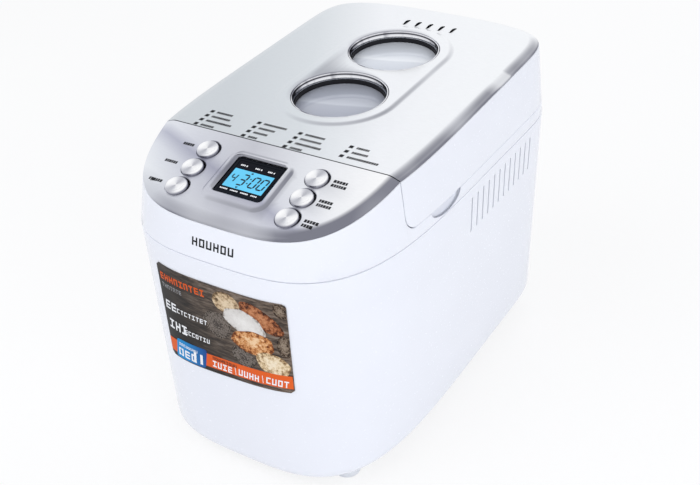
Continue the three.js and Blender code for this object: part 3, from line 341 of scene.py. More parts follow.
def fill_between(bm, outer, holes, height):
    """Fills a flat sheet inside outer, less the holes. Loops are lists of bmesh vertices."""
    loops = [outer] + list(holes)
    verts = [v for loop in loops for v in loop]
    flat = [Vector((v.co.x, v.co.y)) for v in verts]
    edges, start = [], 0
    for loop in loops:
        count = len(loop)
        edges += [(start + i, start + (i + 1) % count) for i in range(count)]
        start += count
    co, _, faces, origin, _, _ = delaunay_2d_cdt(flat, edges, [], 0, 1e-7)
    lookup = []
    for k, places in enumerate(origin):
        lookup.append(
            verts[places[0]] if places else bm.verts.new(
                (co[k].x, co[k].y, height(co[k].x, co[k].y))
            )
        )
    outlines = [[(v.co.x, v.co.y) for v in loop] for loop in loops]
    made = []
    for face in faces:
        middle = sum((co[i] for i in face), Vector((0, 0))) / len(face)
        if inside(middle, outlines[0]) and not any(inside(middle, hole) for hole in outlines[1:]):
            made.append(bm.faces.new([lookup[i] for i in face]))
    return made


def add_loop(bm, points, height):
    return [bm.verts.new((x, y, height(x, y))) for x, y in points]


def bridge(bm, a, b):
    count = len(a)
    return [
        bm.faces.new((a[i], a[(i + 1) % count], b[(i + 1) % count], b[i])) for i in range(count)
    ]


def fold_down(bm, edges):
    """A short lip that turns down along a sheet's edge, as thick as the sheet looks."""
    result = bmesh.ops.extrude_edge_only(bm, edges=edges)
    for v in (g for g in result["geom"] if isinstance(g, bmesh.types.BMVert)):
        v.co.z -= SHEET_LIP


def bridge_all(bm, loops):
    for a, b in zip(loops, loops[1:]):
        bridge(bm, a, b)


def stack(bm, loops):
    """A closed body through loops of points, capped at both ends."""
    made = [[bm.verts.new(p) for p in loop] for loop in loops]
    bridge_all(bm, made)
    cap(bm, made[0])
    cap(bm, made[-1], False)


def mesh_tool(build):
    """A throwaway solid for a boolean."""
    bm = bmesh.new()
    build(bm)
    return make_object("tool", bm, [], smooth=None)


# ---- materials
class Nodes:
    """Adds nodes to a material or a world; a socket takes a number, a tuple or another socket."""

    def __init__(self, owner):
        self.owner = owner
        owner.use_nodes = True
        self.tree = owner.node_tree

    def put(self, socket, value):
        if isinstance(value, bpy.types.NodeSocket):
            self.tree.links.new(value, socket)
        elif isinstance(value, tuple) and len(value) < len(socket.default_value):
            socket.default_value = (*value, 1)
        else:
            socket.default_value = value

    def add(self, kind, inputs, **settings):
        node = self.tree.nodes.new("ShaderNode" + kind)
        for key, value in settings.items():
            setattr(node, key, value)
        for key, value in inputs.items():
            self.put(node.inputs[key], value)
        return node

    def feed(self, key, value):
        """Sets an input of the material's shader."""
        self.put(self.tree.nodes["Principled BSDF"].inputs[key], value)

    def coordinates(self, kind="Object"):
        return self.add("TexCoord", {}).outputs[kind]

    def place(self, scale=(1, 1, 1), rotation=(0, 0, 0)):
        inputs = {"Vector": self.coordinates(), "Scale": scale, "Rotation": rotation}
        return self.add("Mapping", inputs).outputs["Vector"]

    def noise(self, vector, scale, detail=3.0, roughness=0.5):
        inputs = {"Vector": vector, "Scale": scale, "Detail": detail, "Roughness": roughness}
        return self.add("TexNoise", inputs).outputs["Fac"]

    def ramp(self, value, stops):
        node = self.add("ValToRGB", {"Fac": value})
        elements = node.color_ramp.elements
        while len(elements) < len(stops):
            elements.new(0.5)
        for element, (position, colour) in zip(elements, stops):
            element.position = position
            element.color = (*colour, 1)
        return node.outputs["Color"]

    def spread(self, value, low, high):
        """Maps 0..1 to low..high."""
        return self.add(
            "MapRange", {"Value": value, "To Min": low, "To Max": high}
        ).outputs["Result"]

    def span(self, value, low, high):
        """Maps low..high to 0..1, clamped."""
        return self.add(
            "MapRange", {"Value": value, "From Min": low, "From Max": high}
        ).outputs["Result"]

    def bump(self, height, strength, distance):
        inputs = {"Height": height, "Strength": strength, "Distance": distance}
        return self.add("Bump", inputs).outputs["Normal"]

    def dot(self, vector, direction):
        return self.add(
            "VectorMath", {0: vector, 1: direction}, operation="DOT_PRODUCT"
        ).outputs["Value"]

    def math(self, operation, *values):
        return self.add("Math", dict(enumerate(values)), operation=operation).outputs["Value"]

    def blend(self, factor, a, b, kind="MIX"):
        inputs = {"Fac": factor, "Color1": a, "Color2": b}
        return self.add("MixRGB", inputs, blend_type=kind).outputs["Color"]


def new_material(name):
    return Nodes(bpy.data.materials.new(name))


def moulded(name, light, dark, roughness, coat=0.0, grain=900.0, bump=0.05, specular=0.5):
    """Moulded plastic: faint tone drift, uneven gloss and a fine surface texture."""
    m = new_material(name)
    vector = m.place()
    drift = m.noise(vector, 14.0)
    m.feed("Base Color", m.ramp(drift, [(0.3, dark), (0.7, light)]))
    fine = m.noise(vector, grain)
    m.feed("Roughness", m.spread(fine, roughness * 0.85, roughness * 1.15))
    m.feed("Normal", m.bump(fine, bump, 0.0002))
    m.feed("Coat Weight", coat)
    m.feed("Coat Roughness", 0.08)
    m.feed("Specular IOR Level", specular)
    return m.owner


def metal(name, light, dark, roughness, stretch=(1, 1, 1), scale=60.0):
    """Metal with a grain: the larger a value of stretch, the finer the grain across that axis."""
    m = new_material(name)
    grain = m.noise(m.place(stretch), scale, 4.0, 0.65)
    m.feed("Base Color", m.ramp(grain, [(0.3, dark), (0.7, light)]))
    m.feed("Roughness", m.spread(grain, roughness * 0.8, roughness * 1.2))
    m.feed("Normal", m.bump(grain, 0.15, 0.0001))
    m.feed("Metallic", 1.0)
    return m.owner


WHITE = moulded("white_plastic", (0.86, 0.88, 0.945), (0.845, 0.865, 0.93), 0.26, 0.35, 500, 0.03)
SOFT = moulded("soft_white_plastic", (0.8, 0.82, 0.86), (0.75, 0.77, 0.82), 0.6)
BLACK = moulded("black_plastic", (0.018, 0.019, 0.022), (0.010, 0.011, 0.013), 0.4)
RUBBER = moulded("seal_rubber", (0.035, 0.035, 0.037), (0.02, 0.02, 0.022), 0.8, 0.0, 1500, 0.2)
INK = moulded("print_ink", (0.02, 0.02, 0.024), (0.012, 0.012, 0.015), 0.5, specular=0.1)
PALE_INK = moulded("pale_print", (0.93, 0.94, 0.96), (0.85, 0.86, 0.88), 0.5, specular=0.2)
STEEL = metal("plain_steel", (0.5, 0.51, 0.52), (0.4, 0.41, 0.42), 0.35, (1, 1, 6), 90)
OVEN = metal("oven_sheet", (0.62, 0.63, 0.64), (0.52, 0.53, 0.54), 0.4, (6, 1, 1), 90)
ALUMINIUM = metal("liner_sheet", (0.7, 0.71, 0.72), (0.6, 0.61, 0.62), 0.42, (1, 8, 1), 90)
NONSTICK = moulded("nonstick", (0.035, 0.036, 0.038), (0.02, 0.021, 0.022), 0.45, 0.0, 2500, 0.3)
BRASS = metal("bearing_brass", (0.55, 0.40, 0.17), (0.45, 0.31, 0.12), 0.35)
BOARD = moulded("circuit_board", (0.02, 0.12, 0.05), (0.015, 0.09, 0.035), 0.5, 0.3)


def brushed(name, direction, low, high, stops, slopes, reflection_band=None):
    """Brushed sheet: a broad painted reflection across it; painted shade greys slopes facing right
    and front.
    """
    m = new_material(name)
    place = m.coordinates()
    # The broad tone along direction is a painted reflection, not the steel's own colour.
    tone = m.ramp(m.span(m.dot(place, direction), low, high), stops)
    # A painted reflection band, multiplied in along a second direction.
    if reflection_band:
        where, near, far, shade = reflection_band
        along = m.span(m.dot(place, where), near, far)
        tone = m.blend(1.0, tone, m.ramp(along, shade), "MULTIPLY")
    grain = m.noise(m.place((1, 14, 14)), 160, 4.0, 0.65)
    fine = m.ramp(grain, [(0.25, (0.93, 0.93, 0.935)), (0.7, (1, 1, 1))])
    tone = m.blend(1.0, tone, fine, "MULTIPLY")
    # Painted shade: slopes whose normals face right and front mix towards grey, unevenly by noise.
    facing = m.dot(m.coordinates("Normal"), (0.8, -0.6, 0))
    shade_patches = m.noise(place, 13.0, 1.0)
    grey = m.ramp(shade_patches, [(0.4, (0.21, 0.215, 0.26)), (0.62, (0.48, 0.49, 0.54))])
    dark = m.blend(m.span(facing, *slopes), tone, grey)
    m.feed("Base Color", dark)
    m.feed("Roughness", m.spread(grain, 0.24, 0.36))
    m.feed("Normal", m.bump(grain, 0.06, 0.0001))
    m.feed("Metallic", 1.0)
    return m.owner


# The lid's gradient, lighter to the right and rear, is a painted reflection; its right and front
# slopes get painted shade.
LID_STEEL = brushed("brushed_lid", (2.2, 1.2, 0), -0.25, 0.3, [
    (0.0, (0.62, 0.66, 0.70)), (0.3, (0.70, 0.74, 0.78)), (0.6, (0.90, 0.92, 0.96)),
    (1.0, (0.93, 0.95, 0.98)),
], (0.06, 0.36))
# The panel's gradient (light at the left, dark left of the middle, brightest at the right) and its
# second band are painted reflections; its right and front slopes get painted shade.
PANEL_STEEL = brushed("brushed_panel", (1, 0.3, 0), -0.15, 0.07, [
    (0.0, (0.86, 0.89, 0.93)), (0.2, (0.70, 0.72, 0.78)), (0.45, (0.58, 0.59, 0.65)),
    (0.7, (0.80, 0.82, 0.87)), (1.0, (0.98, 0.985, 1.0)),
], (0.2, 0.42), ((0.35, 1.0, 0), -0.205, -0.125, [
    (0.0, (0.8, 0.8, 0.82)), (0.2, (1, 1, 1)), (0.45, (0.9, 0.9, 0.93)), (0.62, (0.62, 0.62, 0.70)),
    (0.75, (0.95, 0.95, 0.97)), (1.0, (1, 1, 1)),
]))


def chrome_material():
    """Polished ring, painted reflections and shade: a dark upper edge, then a bright band with
    darker areas.
    """
    m = new_material("window_chrome")
    place = m.coordinates()
    # Painted reflections and shade, banded by height on the ring.
    level = m.span(m.dot(place, (0, 0, 1)), FACE - 0.0062, FACE + 0.0008)
    reflection_bands = m.ramp(level, [
        (0.0, (0.55, 0.56, 0.60)), (0.2, (0.92, 0.93, 0.96)), (0.34, (0.30, 0.31, 0.34)),
        (0.42, (0.9, 0.91, 0.94)),
        (0.68, (0.75, 0.76, 0.80)), (0.76, (0.06, 0.06, 0.075)), (0.88, (0.10, 0.10, 0.12)),
        (1.0, (0.85, 0.86, 0.9)),
    ])
    # Noise for painted shade laid over the reflection; it also varies the roughness.
    shade_patches = m.noise(m.place((1, 1, 0.2)), 34.0, 3.0, 0.6)
    shade = m.ramp(
        shade_patches, [(0.36, (0.25, 0.25, 0.29)), (0.5, (0.95, 0.95, 0.96)), (0.9, (1, 1, 1))]
    )
    m.feed("Base Color", m.blend(1.0, reflection_bands, shade, "MULTIPLY"))
    m.feed("Roughness", m.spread(shade_patches, 0.12, 0.2))
    m.feed("Metallic", 1.0)
    return m.owner


def button_material():
    """Spun metal: painted highlights as light and dark wedges round the middle; the side wall
    painted in shade.
    """
    m = new_material("spun_button")
    vector = m.place()
    axes = m.add("SeparateXYZ", {"Vector": vector}).outputs
    # Painted highlight: wedges by angle stand for the light on spun metal.
    angle = m.math("ARCTAN2", axes["Y"], axes["X"])
    highlight_wedge = m.math("COSINE", m.math("MULTIPLY_ADD", angle, 2.0, 0.5))
    tone = m.ramp(m.span(highlight_wedge, -1.0, 1.0), [
        (0.0, (0.50, 0.51, 0.56)), (0.25, (0.66, 0.67, 0.72)), (0.55, (0.86, 0.87, 0.9)),
        (0.9, (0.97, 0.975, 0.99)),
    ])
    # The side wall is painted darker, as shade; the colour below blends it with the painted
    # highlight.
    side = m.span(axes["Z"], FACE + 0.0012, FACE + 0.0026)
    wall = m.blend(side, (0.42, 0.42, 0.47), tone)
    m.feed("Base Color", wall)
    grain = m.noise(vector, 700.0)
    m.feed("Roughness", m.spread(grain, 0.24, 0.34))
    m.feed("Metallic", 1.0)
    return m.owner


CHROME = chrome_material()
BUTTON = button_material()


def glass_material(name, low, high):
    """Window glass: a pale film of painted reflection, with a faint painted diagonal reflection."""
    m = new_material(name)
    place = m.coordinates()
    # A painted diagonal reflection, its edge made ragged by noise.
    along = m.dot(place, (-0.25, 1, 0))
    reflection_noise = m.noise(place, 25.0)
    ragged = m.math("ADD", along, m.math("MULTIPLY", reflection_noise, 0.006))
    middle = tuple((a + b) / 2 for a, b in zip(low, high))
    tone = m.ramp(m.span(ragged, -0.05, 0.05), [
        (0.0, low), (0.50, middle), (0.53, high), (0.62, middle),
        (1.0, tuple((a + 2 * b) / 3 for a, b in zip(low, high))),
    ])
    m.feed("Base Color", tone)
    m.feed("Roughness", m.spread(reflection_noise, 0.06, 0.12))
    m.feed("Alpha", 0.93)
    return m.owner


def lcd_material():
    """Backlit display: cyan, with a soft uneven glow."""
    m = new_material("lcd_light")
    vector = m.place()
    glow = m.noise(vector, 45.0)
    colour = m.ramp(glow, [(0.3, (0.055, 0.30, 0.46)), (0.7, (0.065, 0.34, 0.52))])
    m.feed("Base Color", colour)
    m.feed("Emission Color", colour)
    m.feed("Emission Strength", 0.85)
    m.feed("Roughness", 0.25)
    return m.owner


# The front pane's glass is a darker, shaded copy of the rear pane's: painted light.
PANES = (
    glass_material("window_glass_shaded", (0.36, 0.38, 0.46), (0.58, 0.61, 0.68)),
    glass_material("window_glass_lit", (0.62, 0.66, 0.74), (0.90, 0.93, 0.97)),
)
LCD_LIGHT = lcd_material()


# ---- housing
def housing_offset(z):
    return FLARE - DRAFT * (SEAM_Z - z) / (SEAM_Z - BASE_Z)


def housing_rings(inset, steps):
    centre = BASE_Z + BASE_ROUND
    radius = BASE_ROUND - inset
    rings = []
    for i in range(steps + 1):
        a = i / steps * math.pi / 2
        z = centre - radius * math.cos(a)
        rings.append(ring(housing_offset(z) - BASE_ROUND + radius * math.sin(a), z))
    return rings


def build_housing():
    lip = housing_offset(BASE_Z) - BASE_ROUND - 0.006
    outer = [ring(lip, BASE_Z)] + housing_rings(0, 8)
    for z in (0.06, 0.1, 0.15, 0.19):
        outer.append(ring(housing_offset(z), z))
    for into, drop in quarter(0.0006):
        outer.append(ring(housing_offset(SEAM_Z) - into, SEAM_Z - drop))
    inner = [ring(lip, BASE_Z + WALL)] + housing_rings(WALL, 4)
    inner.append(ring(housing_offset(SEAM_Z) - WALL, SEAM_Z))
    bm = bmesh.new()
    add_skin(bm, outer + inner[::-1], hollow=True)
    obj = make_object("housing_shell", bm, WHITE)

    def slots(tool):
        for i in range(12):
            y = i * 0.0114
            profile = rounded_rectangle(0.0011, 0.0175, 0.0011, y, SEAM_Z - 0.0275, steps=4)
            for side in (-1, 1):
                stack(tool, [[(side * x, a, b) for a, b in profile] for x in (0.08, 0.14)])

    def passage(tool):
        inlet_low, inlet_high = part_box("cord_inlet")
        x, z = (inlet_low.x + inlet_high.x) / 2, (inlet_low.z + inlet_high.z) / 2
        prism(tool, circle(0.0078, 32, x, z), 0.15, 0.22)

    boolean(obj, [mesh_tool(slots), mesh_tool(passage)], smooth=30)
    return settle(obj, "machine", "white_gloss", "main_housing")


# ---- collar
def corner_curve(y, grow):
    """Height of the round corner under the front of the lid's skirt."""
    centre = SPLIT_Y + SPLIT_GAP + CORNER
    radius = CORNER + grow
    if y >= centre:
        return 0.0
    return BAND_TOP + FIT + CORNER - math.sqrt(max(radius ** 2 - (centre - y) ** 2, 0.0))


def wall_rings(edge, low_share, top, inset, rounding):
    """Outer side of a flared wall up to top(y), with a rounded upper edge."""

    def at(inset_now, drop):
        points = []
        for x, y, nx, ny in STATIONS:
            z = top(y + flare_offset(0.5) * ny) - drop
            offset = flare_offset(share_at(z, edge(y))) - inset - inset_now
            points.append(Vector((x + offset * nx, y + offset * ny, z)))
        return points

    rings = [flared_ring(low_share, inset, edge)]
    for into, drop in quarter(rounding):
        rings.append(at(into, drop))
    return rings


def panel_rim(edge):
    """The rounded rim of a flared wall under a steel panel."""
    return [ring(-into, lambda y, drop=drop: edge(y) - drop) for into, drop in quarter(0.0007)]


def seam_rings():
    """The lower rim of the flared wall, bevelled at the seam."""
    steps = ((0.0005, 0), (0.00015, 0.00015), (0, 0.0005))
    return [ring(FLARE - into, COLLAR_LOW + rise) for into, rise in steps]


def flared_shell(bm, edge):
    """The flared wall from the seam to a panel's edge, rounded along both rims."""
    outer = seam_rings()
    for share in (0.3, 0.6, 0.8):
        outer.append(flared_ring(share, 0, edge))
    outer += panel_rim(edge)
    inner = [ring(-WALL, edge), ring(FLARE - WALL, COLLAR_LOW)]
    add_skin(bm, outer + inner, hollow=True)


def prism(bm, polygon, y0, y1):
    """A plate across the machine; polygon is [x, z] points."""
    stack(bm, [[(x, y, z) for x, z in polygon] for y in (y0, y1)])


def round_bar(bm, x0, x1, radius, bevel, sides):
    """A bevelled bar about the hinge axis, with [length, depth] of its bevel."""
    along, into = bevel
    profile = ((x0, radius - into), (x0 + along, radius), (x1 - along, radius), (x1, radius - into))
    stack(bm, [[(x, HINGE_Y + a, HINGE_Z + b) for a, b in circle(r, sides)] for x, r in profile])


def section(edge, y, inset, low, high):
    """Half section of the flared form at y between two heights, as [x, z] points."""
    right = []
    for i in range(5):
        z = low + (high - low) * i / 4
        right.append((half_width(flare_offset(share_at(z, edge(y))) - inset, y), z))
    return right + [(-x, z) for x, z in reversed(right)]


def scoop_tool(grow):
    def build(bm):
        for side in (-1, 1):
            seat = Matrix.Translation((side * 0.1228, SCOOP_Y, BAND_TOP + FIT))
            seat @= Matrix.Diagonal((0.007 + grow, 0.025 + grow, 0.010 + grow, 1))
            bmesh.ops.create_uvsphere(bm, u_segments=64, v_segments=32, radius=1.0, matrix=seat)

    return mesh_tool(build)


def form_tool(edge, inset, low, high):
    def build(bm):
        share = share_at(high, edge(0))
        loops = add_skin(bm, [ring(FLARE - inset, low), ring(flare_offset(share) - inset, high)])
        cap(bm, loops[0], False)
        cap(bm, loops[1])

    return mesh_tool(build)


def build_collar():
    bm = bmesh.new()
    flared_shell(bm, panel_edge)
    slice_off(bm, SPLIT_Y - SPLIT_GAP, True)
    close_holes(bm)
    piece("control_surround", bm, WHITE, "machine", "white_gloss", "upper_collar")

    def top(y):
        return max(BAND_TOP, corner_curve(y, 2 * SPLIT_GAP))

    bm = bmesh.new()
    rims = wall_rings(lid_edge, 0.05, top, 0, 0.0006)
    inner = [wall_rings(lid_edge, 0.05, top, WALL, 0.0)[-1], ring(FLARE - WALL, COLLAR_LOW)]
    add_skin(bm, seam_rings() + rims[1:] + inner, hollow=True)
    slice_off(bm, SPLIT_Y - SPLIT_GAP, False)
    close_holes(bm)
    band = make_object("collar_band", bm, WHITE)
    boolean(band, [scoop_tool(0)])
    settle(band, "machine", "white_gloss", "upper_collar")

    pocket = scoop_tool(WALL / 2)
    pocket.name = pocket.data.name = "scoop_pockets"
    pocket.data.materials.append(WHITE)
    boolean(pocket, [form_tool(lid_edge, 0.0004, COLLAR_LOW + 0.0001, BAND_TOP)], "INTERSECT")
    boolean(pocket, [scoop_tool(0)])
    settle(pocket, "machine", "white_gloss", "upper_collar")

    bm = bmesh.new()
    chamber_low, chamber_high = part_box("baking_chamber")
    middle = (chamber_low.y + chamber_high.y) / 2
    hole = rounded_rectangle(0.093, 0.131, 0.034, 0, middle, 12)
    for z, up in ((BAND_TOP, True), (BAND_TOP - DECK, False)):
        outline = add_loop(
            bm, [(p.x, p.y) for p in ring(FLARE * 0.8 - WALL + 0.0002, 0)], lambda x, y: z
        )
        opening = add_loop(bm, hole, lambda x, y: z)
        fill_between(bm, outline, [opening], lambda x, y: z)
        if up:
            above = outline, opening
        else:
            bridge(bm, outline, above[0])
            bridge(bm, above[1], opening)
    slice_off(bm, SPLIT_Y - SPLIT_GAP - WALL, False)
    close_holes(bm)
    for side in (-1, 1):
        x0, x1 = side * EAR_X - EAR_HALF, side * EAR_X + EAR_HALF
        round_bar(bm, x0, x1, 0.005, (0.0004, 0.0004), 40)
        add_block(bm, (x0, HINGE_Y - 0.005, BAND_TOP - 0.001), (x1, HINGE_Y + 0.0005, HINGE_Z))
    piece("oven_deck", bm, WHITE, "machine", "white_gloss", "upper_collar")

    bm = bmesh.new()
    y1 = SPLIT_Y - SPLIT_GAP - 0.00005
    y0 = y1 - WALL
    prism(bm, section(panel_edge, y0, WALL * 0.9, BAND_TOP - DECK, panel_edge(y0) - FIT), y0, y1)
    offset = housing_offset(SEAM_Z) - WALL - FIT
    tongue = [
        ring(offset, SEAM_Z - 0.008), ring(offset, SEAM_Z + 0.0015),
        ring(offset - 0.002, SEAM_Z + 0.0015), ring(offset - 0.002, SEAM_Z - 0.008)
    ]
    add_skin(bm, tongue, hollow=True)
    piece("collar_divider", bm, WHITE, "machine", "white_gloss", "upper_collar")


# ---- lid
def build_lid_shell():
    def low(y):
        if y > HINGE_Y:
            return HINGE_Z
        return max(BAND_TOP + FIT, corner_curve(y, 0))

    bm = bmesh.new()
    outer = []

    def at(inset, rise):
        points = []
        for x, y, nx, ny in STATIONS:
            z = low(y) + rise
            offset = flare_offset(share_at(z, lid_edge(y))) - inset
            points.append(Vector((x + offset * nx, y + offset * ny, z)))
        return points

    for rise, inset in quarter(0.0005):
        outer.append(at(inset, rise))
    for share in (0.6, 0.8):
        outer.append(flared_ring(share, 0, lid_edge))
    outer += panel_rim(lid_edge)
    inner = [ring(-WALL, lid_edge), at(WALL, 0.0)]
    add_skin(bm, outer + inner, hollow=True)
    slice_off(bm, SPLIT_Y + SPLIT_GAP, False)
    close_holes(bm)
    y0 = SPLIT_Y + SPLIT_GAP
    prism(
        bm, section(lid_edge, y0, WALL + 0.001, BAND_TOP + FIT, lid_edge(y0) - 0.0001), y0,
        y0 + WALL
    )
    piece("lid_skirt", bm, WHITE, "lid", "white_gloss", "lid_shell")

    bm = bmesh.new()
    spans = (
        (-0.068, -EAR_X - EAR_GAP), (-EAR_X + EAR_GAP, EAR_X - EAR_GAP), (EAR_X + EAR_GAP, 0.068)
    )
    for x0, x1 in spans:
        round_bar(bm, x0, x1, HINGE_ROUND, (0.0005, 0.0005), 48)
    roll = make_object("hinge_roll", bm, WHITE)
    boolean(roll, [form_tool(lid_edge, 0.0002, COLLAR_LOW, 0.27)], "INTERSECT")
    settle(roll, "lid", "white_gloss", "lid_shell")


def sheet_border(bm, edge):
    """Border of a steel panel, from its lower rim to the edge of the flat face."""
    profile = [(-0.0006, 0.0003), (-0.0006, 0.0008), (-0.0009, 0.00115), (-0.0016, 0.0015)]
    for i in range(1, 9):
        t = i / 8
        rise = math.sin(t * math.pi / 2) ** 1.15
        profile.append((-0.0016 - (BEVEL - 0.0016) * t, 0.0015 + (FACE - 0.0015) * rise))
    rings = [ring(offset, lambda y, h=h: edge(y) + h) for offset, h in profile]
    return add_skin(bm, rings)


def window_edge(bm, height, centre):
    """Rolled edge of a round hole in the sheet."""
    loops = []
    for radius, drop in ((0.0434, 0.0), (0.0430, 0.0002), (0.0427, 0.0007), (0.0426, 0.002)):
        points = circle(radius, 96, 0, centre)
        loops.append(add_loop(bm, points, lambda x, y, d=drop: height(x, y) - d))
    return loops


def build_lid_panel():
    bm = bmesh.new()

    def face(x, y):
        return lid_edge(y) + FACE

    def plateau(x, y):
        return face(x, y) + TRACK_RISE

    loops = sheet_border(bm, lid_edge)
    track = []
    for i in range(7):
        t = i / 6
        s = t * t * (3 - 2 * t)
        track.append(
            add_loop(
                bm, racetrack(TRACK_RADIUS - TRACK_SLOPE * t),
                lambda x, y, s=s: face(x, y) + TRACK_RISE * s
            )
        )
    vents = []
    for i in range(5):
        x = VENT_X + (i - 2) * VENT_PITCH
        points = rounded_rectangle(0.0015, 0.006, 0.0012, 0, 0, 4)
        slanted = [(x + a + VENT_LEAN * b, VENT_Y + b) for a, b in points]
        vents.append(add_loop(bm, slanted, face))
    fill_between(bm, loops[-1], [track[0]] + vents, face)
    bridge_all(bm, track)
    holes = []
    for centre in WINDOW_Y:
        edges = window_edge(bm, plateau, centre)
        bridge_all(bm, edges)
        holes.append(edges[0])
    fill_between(bm, track[-1], holes, plateau)
    for vent in vents:
        below = [bm.verts.new(v.co - Vector((0, 0, 0.0025))) for v in vent]
        bridge(bm, vent, below)
    slice_off(bm, SPLIT_Y + SPLIT_GAP, False)
    front = [
        e
        for e in bm.edges if e.is_boundary and all(
            abs(v.co.y - SPLIT_Y - SPLIT_GAP) < 1e-6 for v in e.verts
        )
    ]
    fold_down(bm, front)
    piece("lid_steel", bm, LID_STEEL, "lid", "brushed_top", "lid_top_panel", smooth=28)

    bm = bmesh.new()
    for i in range(5):
        x = VENT_X + (i - 2) * VENT_PITCH
        rows = []
        for t in range(9):
            b = -0.0058 + 0.0116 * t / 8
            lift = math.sin(math.pi * t / 8)
            px, py, pz = x + VENT_LEAN * b, VENT_Y + b, face(0, VENT_Y + b)
            steps = ((0.0015, -0.0012), (0.0011, 0.0011 * lift), (0.0004, 0.0014 * lift))
            rows.append([bm.verts.new((px - into, py, pz + rise)) for into, rise in steps])
        for a, b in zip(rows, rows[1:]):
            for k in range(2):
                bm.faces.new((a[k], a[k + 1], b[k + 1], b[k]))
    piece("lid_louvres", bm, LID_STEEL, "lid", "brushed_top", "lid_top_panel", recalc=False)


def build_windows():
    for place, centre in zip(("front", "rear"), WINDOW_Y):
        along = (centre - SPLIT_Y) / math.cos(LID_TILT)
        face = FACE * math.cos(LID_TILT)
        bm = bmesh.new()
        profile = [
            (0.0355, -0.040), (0.041, -0.040), (0.0415, face - 0.002), (0.0424, face + 0.0002),
            (0.0423, face + 0.0008),
            (0.0419, face + 0.0010), (0.0414, face + 0.0008), (0.0410, face),
            (0.0408, face - 0.0018),
            (0.0403, face - 0.0024), (0.0402, face - 0.0060), (0.0402, face - 0.0125),
            (0.0355, face - 0.0125), (0.0355, -0.040),
        ]
        turned(bm, profile, 128)
        bmesh.ops.remove_doubles(bm, verts=bm.verts[:], dist=1e-7)
        seat = slope_matrix(LID_TILT, 0, along)
        piece(
            "window_rim_" + place, bm, CHROME, "lid", "window_chrome", "window_ring_" + place,
            matrix=seat, smooth=40
        )

        bm = bmesh.new()
        turned(bm, [
            (0.0401, face - 0.0052), (0.0397, face - 0.0048), (0.0394, face - 0.0053),
            (0.0393, face - 0.0089),
            (0.0401, face - 0.0090), (0.0401, face - 0.0052),
        ], 128)
        bmesh.ops.remove_doubles(bm, verts=bm.verts[:], dist=1e-7)
        pane = "window_glass_" + place
        piece("window_gasket_" + place, bm, INK, "lid", "seal_rubber", pane, matrix=seat, smooth=40)

        bm = bmesh.new()
        turned(bm, [
            (0, face - 0.0120), (0.0396, face - 0.0120), (0.0400, face - 0.0117),
            (0.0400, face - 0.0093),
            (0.0397, face - 0.0091), (0, face - 0.0091),
        ], 96)
        glass = PANES[place == "rear"]
        piece(
            "window_pane_" + place, bm, glass, "lid", "window_glass", pane, matrix=seat, smooth=40
        )


# ---- control panel
def to_panel(along):
    """Plan position of a distance measured along the panel's slope."""
    return SPLIT_Y + along * math.cos(PANEL_TILT)


def panel_loop(bm, points, height):
    """A loop given along the slope, laid on the panel at a height above its flat face."""
    loop = []
    for x, along in points:
        y = to_panel(along)
        loop.append(bm.verts.new((x, y, panel_edge(y) + FACE + height)))
    return loop


BUTTONS = [
    (side, i, (-0.0525 if side == "left" else 0.0525), -0.0216 - 0.022 * i)
    for side in ("left", "right")
    for i in range(3)
]


def build_fascia():
    bm = bmesh.new()
    loops = sheet_border(bm, panel_edge)
    holes = []
    for _, _, x, along in BUTTONS:
        edges = []
        for radius, height in (
            (0.0112, 0.0), (0.0107, 0.0001), (0.0103, -0.0004), (0.0101, -0.003)
        ):
            edges.append(panel_loop(bm, circle(radius, 48, x, along), height))
        bridge_all(bm, edges)
        holes.append(edges[0])
    surround = []
    steps = [
        (0.0, 0.0), (0.0008, 0.00025), (0.0018, 0.00085), (0.0028, 0.00135), (0.0038, 0.0016),
        (0.0050, 0.0017)
    ]
    for inset, height in steps:
        surround.append(
            panel_loop(
                bm,
                rounded_rectangle(0.0315 - inset, 0.02875 - inset, 0.012 - inset, 0, -0.04225, 12),
                height
            )
        )
    inner = []
    for grow, height in (
        (0.0036, 0.0017), (0.0022, 0.0015), (0.0010, 0.0007), (0.0004, -0.0002), (0.0003, -0.0016)
    ):
        inner.append(
            panel_loop(
                bm,
                rounded_rectangle(
                    LCD_HALF[0] + grow, LCD_HALF[1] + grow, 0.0028 + grow, 0, LCD_CENTRE, 12
                ),
                height
            )
        )
    for group in (surround, inner):
        bridge_all(bm, group)
    flat = lambda x, y: panel_edge(y) + FACE
    fill_between(bm, loops[-1], holes + [surround[0]], flat)
    fill_between(bm, surround[-1], [inner[0]], flat)
    slice_off(bm, SPLIT_Y - SPLIT_GAP, True)
    back = [
        e
        for e in bm.edges if e.is_boundary and all(
            abs(v.co.y - SPLIT_Y + SPLIT_GAP) < 1e-6 for v in e.verts
        )
    ]
    fold_down(bm, back)
    piece("control_steel", bm, PANEL_STEEL, "machine", "brushed_top", "control_fascia", smooth=28)


def build_buttons():
    face = FACE * math.cos(PANEL_TILT)
    top = face + 0.0034
    r = BUTTON_RADIUS
    for side, i, x, along in BUTTONS:
        bm = bmesh.new()
        turned(bm, [
            (0, -0.004), (r - 0.0004, -0.004), (r, -0.0036), (r, top - 0.0016),
            (r - 0.0002, top - 0.0011),
            (r - 0.0009, top - 0.0003), (r - 0.0013, top - 0.0001), (r - 0.0017, top - 0.0002),
            (r - 0.0021, top - 0.0005),
            (r - 0.004, top - 0.0007), (r * 0.3, top - 0.0009), (0, top - 0.001),
        ], 64)
        piece(
            f"button_cap_{side}_{i + 1}", bm, BUTTON, f"key_{side}_{i + 1}", "button_metal",
            f"button_{side}_{i + 1}", matrix=slope_matrix(PANEL_TILT, x, along), smooth=32
        )


SEGMENTS = {"4": "bcfg", "3": "abcdg", "0": "abcdef"}


